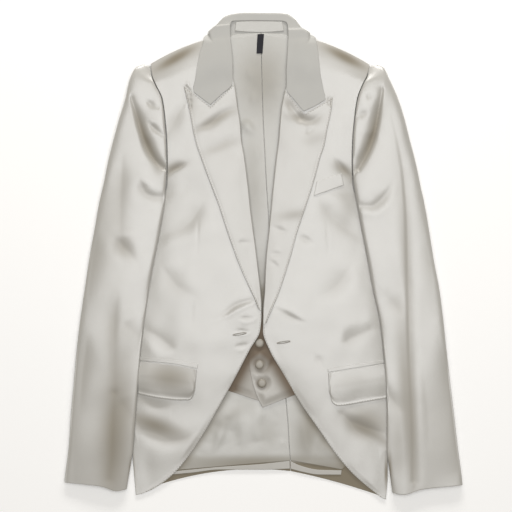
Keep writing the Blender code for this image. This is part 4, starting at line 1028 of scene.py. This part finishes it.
def collar_surface(trees):
    """Middle of the collar wall: leaves on the fronts, a folded roll over the back neck."""
    rows, along = filled(COLLAR_COLUMNS, COLLAR_SECTIONS, lambda r: (r[2:4], r[4:6]), FINE)
    low_end = COLLAR / 2
    folded = []
    flat = []
    corner = 1 - math.sqrt(0.5)
    for i in range(len(along)):
        cut = {name: float(rows[name][i, 0]) for name in rows}
        fall = np.array((cut["fall_x"], cut["fall_y"]))
        bend = np.array((cut["bend_x"], cut["bend_y"]))
        neck = np.array((cut["neck_x"], cut["neck_y"]))
        toward = bend + (neck - bend) * 0.15
        on_leaf = heights(trees, np.array([fall[0], toward[0]]), np.array([fall[1], toward[1]]))
        on_leaf = np.maximum(on_leaf + LEAF_LAID + COLLAR / 2, cut["neck_z"])
        low = on_leaf[0] + (low_end - on_leaf[0]) * cut["under"]
        high = cut["neck_z"] if cut["under"] > 0.99 else on_leaf[1]
        radius = max((high - low) / 2, 0.0)
        to_fall = max(math.dist(bend, fall), 0.1)
        to_neck = max(math.dist(bend, neck), 0.1)
        plan = (
            (0.0, None, low), (0.5, None, low),
            (1 - min(radius / to_fall, 0.4), None, low),
            (1 - min(corner * radius / to_fall, 0.2), None, low + corner * radius),
            (1.0, None, low + radius),
            (None, corner * radius / to_neck, high - corner * radius),
            (None, radius / to_neck, high), (None, 0.55, high), (None, 1.0, high),
        )
        line = []
        for first, second, z in plan:
            if second is None:
                place = fall + (bend - fall) * first
            else:
                place = bend + (neck - bend) * second
            line.append((place[0], place[1], z))
        folded.append(line)
        line = [tuple(fall + (bend - fall) * k / 4) + (0.0,) for k in range(4)]
        line += [tuple(bend + (neck - bend) * k / 4) + (0.0,) for k in range(5)]
        flat.append(line)
    folded = refined(folded, 44)
    flat = refined(flat, 44)
    under = rows["under"]
    x = flat[..., 0] + (folded[..., 0] - flat[..., 0]) * under
    y = flat[..., 1] + (folded[..., 1] - flat[..., 1]) * under
    level = np.maximum(heights(trees, x, y) + LEAF_LAID + COLLAR / 2, rows["neck_z"])
    level = level + ripple(x, y, 31, 0.10, 30, 70)
    z = level + (folded[..., 2] - level) * under
    return points_of(x, y, z)


def wall_about(grid, thickness):
    """Two grids, half the thickness to either side of the middle of a wall."""
    normal = np.cross(np.gradient(grid, axis=0), np.gradient(grid, axis=1))
    normal /= np.maximum(np.linalg.norm(normal, axis=2, keepdims=True), 1e-9)
    return grid + normal * thickness / 2, grid - normal * thickness / 2


def button_surface(place, base):
    """A domed button, its satin gathered in small pleats towards the rim."""
    rings = ((0.0, 0.05), (0.5, 0.0), (0.8, 0.02), (0.93, 0.14), (1.0, 0.32), (0.99, 0.48),
             (0.93, 0.66), (0.82, 0.8), (0.66, 0.91), (0.46, 0.97), (0.22, 1.0), (0.0, 1.0))
    angles = np.linspace(0, 2 * math.pi, 97)[None, :-1]
    scale = np.array([ring[0] for ring in rings])[:, None]
    rise = np.array([ring[1] for ring in rings])[:, None]
    pleat = 1 + 0.02 * np.sin(angles * 22) * smooth((scale - 0.6) / 0.4)
    x = place[0] + BUTTON_RADIUS * scale * pleat * np.cos(angles)
    y = place[1] + BUTTON_RADIUS * scale * pleat * np.sin(angles)
    return points_of(x, y, base + BUTTON_HEIGHT * rise)


def closed_rings(name, grid, material):
    """A closed body from rings of points, its first and last ring a single place."""
    index, _ = grid_faces(grid.shape)
    after = np.roll(index, -1, axis=1)
    quads = np.stack([index[:-1], after[:-1], after[1:], index[1:]], axis=-1).reshape(-1, 4)
    return added(name, (grid.reshape(-1, 3) * MM).tolist(), quads.tolist(), material)


def beads(name, paths, spacing, size, trees, material, lift=0.0):
    """A line of small stitches along each path, lying on the cloth below."""
    rings = ((0.0, -0.6), (0.7, -0.35), (1.0, 0.1), (0.75, 0.7), (0.0, 1.0))
    angles = np.linspace(0, 2 * math.pi, 7)[:-1]
    points = []
    faces = []
    for path in paths:
        path = np.asarray(path, float)
        steps = np.linalg.norm(np.diff(path, axis=0), axis=1)
        run = np.concatenate([[0.0], np.cumsum(steps)])
        at = np.arange(spacing / 2, run[-1], spacing)
        x = np.interp(at, run, path[:, 0])
        y = np.interp(at, run, path[:, 1])
        ahead_x = np.interp(at + 0.5, run, path[:, 0]) - np.interp(at - 0.5, run, path[:, 0])
        ahead_y = np.interp(at + 0.5, run, path[:, 1]) - np.interp(at - 0.5, run, path[:, 1])
        z = heights(trees, x, y) + lift
        for px, py, pz, ax, ay in zip(x, y, z, ahead_x, ahead_y):
            reach = math.hypot(ax, ay) or 1.0
            ax /= reach
            ay /= reach
            start = len(points)
            for scale, rise in rings:
                for angle in angles:
                    long_way = size[0] * scale * math.cos(angle)
                    short_way = size[1] * scale * math.sin(angle)
                    points.append(((px + ax * long_way - ay * short_way) * MM,
                                   (py + ay * long_way + ax * short_way) * MM,
                                   (pz + size[2] * rise) * MM))
            count = len(angles)
            for ring in range(len(rings) - 1):
                for k in range(count):
                    a = start + ring * count + k
                    b = start + ring * count + (k + 1) % count
                    faces.append((a, b, b + count, a + count))
    item = added(name, points, faces, material)
    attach(item, "root")


def new_node(material, kind, settings, **values):
    """A new node of a material: first its settings, then the inputs named here."""
    node = material.node_tree.nodes.new("ShaderNode" + kind)
    for name, value in settings.items():
        setattr(node, name, value)
    for name, value in values.items():
        node.inputs[name.replace("_", " ")].default_value = value
    return node


def cloth(name, colour, shade, roughness, sheen, grain, tint=0.05, gloss_level=0.7):
    """Woven cloth: a fine weave, faint uneven colour and gloss, and painted shade: the base colour
    mixed towards a shade colour, and duller, by a share stored on the mesh.
    """
    material = bpy.data.materials.new(name)
    material.use_nodes = True
    shader = material.node_tree.nodes["Principled BSDF"]
    place = new_node(material, "TexCoord", {})
    cloud = new_node(material, "TexNoise", {}, Scale=11.0, Detail=3.0)
    darker = [c * (1 - tint) for c in colour]
    lighter = [min(1.0, c * (1 + tint * 0.4)) for c in colour]
    uneven = new_node(material, "Mix", {"data_type": "RGBA"}, A=(*darker, 1.0), B=(*lighter, 1.0))
    # The share of painted shade on the mesh mixes the colour towards the shade colour and dulls the
    # gloss
    painted_shade = new_node(material, "Attribute", {"attribute_name": "painted_shade"})
    shaded = new_node(material, "Mix", {"data_type": "RGBA"}, B=(*shade, 1.0))
    fleck = new_node(material, "TexNoise", {}, Scale=60.0)
    gloss = new_node(material, "MapRange", {}, To_Min=roughness - 0.04, To_Max=roughness + 0.04)
    dull = new_node(material, "Math", {"operation": "MULTIPLY_ADD", "use_clamp": True})
    dull.inputs[1].default_value = 0.9
    weave = new_node(material, "Math", {"operation": "MULTIPLY"})
    bump = new_node(material, "Bump", {}, Strength=0.25, Distance=0.00005)
    joins = [
        (place, "Object", cloud, "Vector"),
        (cloud, "Fac", uneven, "Factor"),
        (painted_shade, "Fac", shaded, "Factor"),
        (uneven, "Result", shaded, "A"),
        (shaded, "Result", shader, "Base Color"),
        (place, "Object", fleck, "Vector"),
        (fleck, "Fac", gloss, "Value"),
        (painted_shade, "Fac", dull, 0),
        (gloss, "Result", dull, 2),
        (dull, "Value", shader, "Roughness"),
        (weave, "Value", bump, "Height"),
        (bump, "Normal", shader, "Normal"),
    ]
    for entry, (direction, scale) in enumerate((("X", grain), ("Y", grain * 1.12))):
        yarn = new_node(material, "TexWave", {"wave_type": "BANDS", "bands_direction": direction},
                        Scale=scale, Distortion=0.4)
        joins.append((place, "Object", yarn, "Vector"))
        joins.append((yarn, "Fac", weave, entry))
    for source, output, target, entry in joins:
        material.node_tree.links.new(source.outputs[output], target.inputs[entry])
    for entry, value in (("IOR", 1.8), ("Specular IOR Level", gloss_level),
                         ("Sheen Weight", sheen), ("Sheen Roughness", 0.5)):
        shader.inputs[entry].default_value = value
    return material


def outline(grid, borders):
    """Paths in plan along some borders of a grid, moved inwards: edge, open or start."""
    paths = []
    sides = edge_distance(grid)
    for border, inward in borders:
        if border == "edge":
            column = np.argmax(sides[0] >= inward, axis=1)
            paths.append(grid[np.arange(len(grid)), column, :2])
        elif border == "open":
            column = grid.shape[1] - 1 - np.argmax((sides[1] >= inward)[:, ::-1], axis=1)
            paths.append(grid[np.arange(len(grid)), column, :2])
        elif border == "start":
            line = np.argmax(sides[2] >= inward, axis=0)
            paths.append(grid[line, np.arange(grid.shape[1]), :2])
    return paths


def buttonhole(side, start, end, trees, thread):
    """A worked buttonhole: a rim of thread round a narrow slit."""
    start = np.array(start)
    end = np.array(end)
    length = math.dist(start, end)
    ahead = (end - start) / length
    aside = np.array((-ahead[1], ahead[0]))
    turns = np.linspace(0, 2 * math.pi, 73)
    half = 1.3
    ring = []
    for turn in turns:
        along = length / 2 + (length / 2) * math.cos(turn)
        ring.append(start + ahead * along + aside * half * math.sin(turn))
    beads("buttonhole_%s_stitches" % side, [np.array(ring)], 0.55, (0.34, 0.85, 0.5), trees,
          thread, 0.1)


satin = cloth("satin", IVORY, SHADE, 0.30, 0.08, 620.0)
leaf_satin = cloth("leaf_satin", (0.40, 0.395, 0.37), SHADE, 0.5, 0.04, 560.0, 0.03, 0.4)
inner_satin = cloth("inner_satin", (0.40, 0.392, 0.36), SHADE, 0.33, 0.06, 700.0, 0.05, 0.55)
vest_satin = cloth("vest_satin", (0.40, 0.385, 0.35), DEEP_SHADE, 0.33, 0.06, 700.0, 0.05, 0.55)
# The covered buttons' satin is darker than the waistcoat's, as painted shade
button_satin = cloth("button_satin", (0.27, 0.245, 0.20), SHADE, 0.42, 0.08, 620.0, 0.05, 0.5)
ribbon = cloth("ribbon", (0.02, 0.02, 0.025), (0.01, 0.01, 0.01), 0.7, 0.0, 300.0, 0.0, 0.1)
thread = cloth("thread", (0.30, 0.28, 0.24), SHADE, 0.45, 0.1, 900.0)

# Back shell and lining
lining_trees = []
for side, edge, lining_edge, shift in (
    ("right", BACK_EDGE_RIGHT, LINING_EDGE_RIGHT, -GAP),
    ("left", BACK_EDGE_LEFT, LINING_EDGE_LEFT, GAP),
):
    rows = []
    for (edge_x, edge_y, bow), (seam_x, seam_y) in zip(edge, CENTRE_SEAM):
        rows.append((edge_x, edge_y, seam_x + shift, seam_y, bow))
    grid = panel_surface(rows, BACK_TOP, COARSE, COARSE, BACK_CLIMB)
    # Below the hem of the lining the inside of the back gets painted shade
    shade = 0.92 * smooth((-grid[..., 1] - 322) / 12)
    sheet_piece("back_" + side, grid, SHELL, inner_satin, shade)
    rows = []
    for (edge_x, edge_y), (seam_x, seam_y) in zip(lining_edge, CENTRE_SEAM):
        rows.append((edge_x, edge_y, seam_x + shift, max(seam_y, LINING_HEM_Y), 0.0))
    # The top section bows away from the collar
    rows[0] = (*rows[0][:4], -3.0)
    grid = panel_surface(rows, LINING_TOP, MEDIUM, MEDIUM, LINING_CLIMB)
    x = grid[..., 0]
    y = grid[..., 1]
    # Folds and ripples of the lining only rise, so that they stay above the back
    relief = fold_relief(x, y, FOLDS_LINING)
    fade = smooth(np.minimum.reduce(edge_distance(grid)) / 25)
    grid[..., 2] += (np.maximum(relief, 0) + np.abs(ripple(x, y, 5, 0.3, 30, 80))) * fade
    # Painted shade beside and below the cutaway edges of the fronts, towards the hem, and in soft
    # patches
    shade = under_fronts(x, y, 7.0, 0.35) + 0.25 * smooth((-y - 314) / 12)
    shade = np.clip(shade + dimmed(x, y, DARK_LINING), 0, 0.9)
    sheet_piece("lining_" + side, grid, LIGHT, inner_satin,
                shade)
    lining_trees.append(tree_of(grid))

for side, rows in (("right", HEM_BAND_RIGHT), ("left", HEM_BAND_LEFT)):
    grid = patch_surface(rows, FINE, None, LIGHT, GAP)
    # An even share of painted shade over the hem band
    sheet_piece("hem_band_" + side, grid, LIGHT, satin,
                np.full(grid.shape[:2], 0.25))
grid = patch_surface(TAB, 1.0, lining_trees, LIGHT, GAP)
sheet_piece("neck_tab", grid, LIGHT, ribbon)

# Waistcoat
waistcoat_trees = []
for side, rows, top in (("right", WAISTCOAT_RIGHT, UNDER_TOP), ("left", WAISTCOAT_LEFT, UPPER_TOP)):
    grid = panel_surface([(*row, 0.0) for row in rows], top, FINE, FINE)
    sides = edge_distance(grid)
    x = grid[..., 0]
    y = grid[..., 1]
    # The fronts puff up between the buttons that hold them
    away = np.ones_like(x)
    for button_x, button_y in WAISTCOAT_BUTTONS:
        reach = np.hypot(x - button_x, y - button_y)
        away *= smooth((reach - BUTTON_RADIUS) / 10)
    puff = 2.2 * away * smooth(np.minimum(sides[1], sides[3]) / 14) * smooth((-y - 100) / 30)
    if side == "right":
        puff = 0.9 * smooth((-y - 150) / 20) * smooth((-12 - x) / 10) * smooth(sides[3] / 14)
    relief = fold_relief(x, y, FOLDS_WAISTCOAT) * smooth(np.minimum(sides[1], sides[3]) / 8)
    grid[..., 2] += np.maximum(puff + relief, 0)
    # Painted shade: beside and below the cutaway edges of the fronts, towards the top, round the
    # buttons, in the folds, and evenly over each front, more on the right one that lies below
    shade = np.clip(under_fronts(x, y, 14.0, 0.85) + 0.9 * smooth((y + 178) / 50), 0, 0.9)
    even_painted_shade = 0.2 if side == "right" else 0.06
    painted_shade_at_buttons = 0.3 * np.exp(-(away / 0.3) ** 2)
    shade = np.clip(shade + painted_shade_at_buttons + 1.6 * painted_fold_shade(relief) + even_painted_shade, 0, 0.9)
    sheet_piece("waistcoat_" + side, grid, FLAP_CLOTH, vest_satin,
                shade)
    waistcoat_trees.append(tree_of(grid))
for i, place in enumerate(WAISTCOAT_BUTTONS):
    name = "waistcoat_button_%d" % (i + 1)
    item = closed_rings(name + "_satin", button_surface(place, UPPER_TOP + GAP), button_satin)
    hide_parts(name)
    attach(item, "root")

# Fronts, lapels, pockets
trees = {}
for (side, rows, folds, dark, lapel_rows, dark_lapel, notch_at, jet, flap, dark_flap, hole,
     lift) in (
    ("right", FRONT_RIGHT, FOLDS_FRONT_RIGHT, DARK_FRONT_RIGHT, LAPEL_RIGHT, DARK_LAPEL_RIGHT,
     NOTCH_RIGHT, JET_RIGHT, FLAP_RIGHT, DARK_FLAP_RIGHT, HOLE_RIGHT, FLAP_LIFT_RIGHT),
    ("left", FRONT_LEFT, FOLDS_FRONT_LEFT, DARK_FRONT_LEFT, LAPEL_LEFT, DARK_LAPEL_LEFT,
     NOTCH_LEFT, JET_LEFT, FLAP_LEFT, DARK_FLAP_LEFT, HOLE_LEFT, FLAP_LIFT_LEFT),
):
    grid, relief = front_surface(rows, folds, 3 if side == "right" else 8)
    # No fold of a front sinks into the lining
    clear = heights(lining_trees, grid[..., 0], grid[..., 1]) + SHELL + GAP
    unfolded = grid[..., 2] - relief
    grid[..., 2] = np.maximum(grid[..., 2], np.minimum(clear, unfolded))
    # Painted shade in the folds and in soft patches
    sheet_piece("front_" + side, grid, SHELL, satin,
                painted_fold_shade(relief) + dimmed(grid[..., 0], grid[..., 1], dark))
    trees[side] = tree_of(grid)
    front_paths = outline(grid, (("open", STITCH_INSET),))
    below_lapel = lapel_rows[-1][1] - 6
    front_paths = [path[path[:, 1] < below_lapel] for path in front_paths]
    beads("front_%s_stitches" % side, front_paths, STITCH_STEP, (1.1, 0.6, 0.35),
          [trees[side]], thread)
    lapel = lapel_piece(side, lapel_rows, dark_lapel, notch_at, [trees[side]], 12, satin)
    lapel_tree = tree_of(lapel)
    lapel_paths = outline(lapel, (("edge", STITCH_INSET), ("start", STITCH_INSET)))
    beads("lapel_%s_stitches" % side, lapel_paths, STITCH_STEP, (1.1, 0.55, 0.3), [lapel_tree],
          thread)
    trees["lapel_" + side] = lapel_tree
    grid = patch_surface(jet, FINE, [trees[side]], LIGHT)
    sheet_piece("pocket_jet_" + side, grid, LIGHT, satin)
    grid = patch_surface(flap, FINE, [trees[side]], FLAP_CLOTH)
    sides = edge_distance(grid)
    # The middle of a flap stands off its front, with a raised line inside the stitched rim
    down = sides[0] / FLAP_LENGTH
    rim = np.minimum(sides[1], sides[3])
    grid[..., 2] += lift * smooth(down / 0.4) * smooth((1 - down) / 0.5) * smooth(rim / 12)
    grid[..., 2] += 0.45 * np.exp(-((rim - 1.8) / 1.3) ** 2)
    # Painted shade in soft patches
    sheet_piece("pocket_flap_" + side, grid, FLAP_CLOTH, satin,
                dimmed(grid[..., 0], grid[..., 1], dark_flap))
    flap_tree = tree_of(grid)
    beads("flap_%s_stitches" % side, outline(grid, (("open", STITCH_INSET),)), STITCH_STEP,
          (1.0, 0.5, 0.25), [flap_tree], thread)
    buttonhole(side, hole[0], hole[1], [trees[side]], thread)
grid = patch_surface(BREAST_WELT, 1.6, [trees["left"]], FLAP_CLOTH)
sheet_piece("breast_welt", grid, FLAP_CLOTH, satin)

# Sleeves
sleeve("right", SLEEVE_RIGHT, FOLDS_SLEEVE_RIGHT, DARK_SLEEVE_RIGHT, 14, satin, inner_satin)
sleeve("left", SLEEVE_LEFT, FOLDS_SLEEVE_LEFT, DARK_SLEEVE_LEFT, 17, satin, inner_satin)

# Collar
middle = collar_surface([trees["right"], trees["left"]])
above, below = wall_about(middle, COLLAR)
above, below = rounded(above, below, edge_distance(middle), COLLAR * EDGE_ROUND)
item = wall("collar_cloth", above, below, leaf_satin)
dress(item, "collar")
grid = patch_surface(STAND, FINE, None, COLLAR, COLLAR + GAP - BACK_TOP)
sheet_piece("collar_stand", grid, COLLAR, inner_satin)

# Floor, light and camera
floor_mesh = bpy.data.meshes.new("floor")
floor_mesh.from_pydata([(-4, -4, 0), (4, -4, 0), (4, 4, 0), (-4, 4, 0)], [], [(0, 1, 2, 3)])
floor = bpy.data.objects.new("floor", floor_mesh)
bpy.context.collection.objects.link(floor)
paper = bpy.data.materials.new("paper")
paper.use_nodes = True
paper_shader = paper.node_tree.nodes["Principled BSDF"]
paper_shader.inputs["Base Color"].default_value = (0.99, 0.99, 0.985, 1)
paper_shader.inputs["Roughness"].default_value = 0.9
floor.data.materials.append(paper)

world = bpy.data.worlds.new("studio")
world.use_nodes = True
sky = world.node_tree.nodes["Background"]
sky.inputs["Color"].default_value = (1.0, 0.92, 0.80, 1)
sky.inputs["Strength"].default_value = WORLD_STRENGTH
bpy.context.scene.world = world
bpy.context.scene.view_settings.view_transform = "Standard"


def area_light(name, place, target, size, power, colour):
    """A soft lamp that faces a point."""
    lamp = bpy.data.lights.new(name, "AREA")
    lamp.shape = "RECTANGLE"
    lamp.size = size[0]
    lamp.size_y = size[1]
    lamp.energy = power
    lamp.color = colour
    item = bpy.data.objects.new(name, lamp)
    item.location = place
    item.rotation_euler = (Vector(target) - Vector(place)).to_track_quat("-Z", "Y").to_euler()
    bpy.context.collection.objects.link(item)


area_light("key", (0.1, 0.12, 2.9), (0.0, 0.0, 0.0), (2.5, 2.5), KEY_POWER, (0.985, 0.99, 1.0))
area_light("rake", (0.1, 2.4, 0.9), (0.0, 0.0, 0.0), (1.6, 0.5), RAKE_POWER, (1.0, 0.98, 0.95))

camera = bpy.data.cameras.new("camera")
camera.lens = 100
camera.sensor_width = 36
camera_item = bpy.data.objects.new("camera", camera)
camera_item.location = (-0.012, 0.0, 2.2756)
camera_item.rotation_euler = (0.0, 0.0, 0.0)
bpy.context.collection.objects.link(camera_item)
bpy.context.scene.camera = camera_item
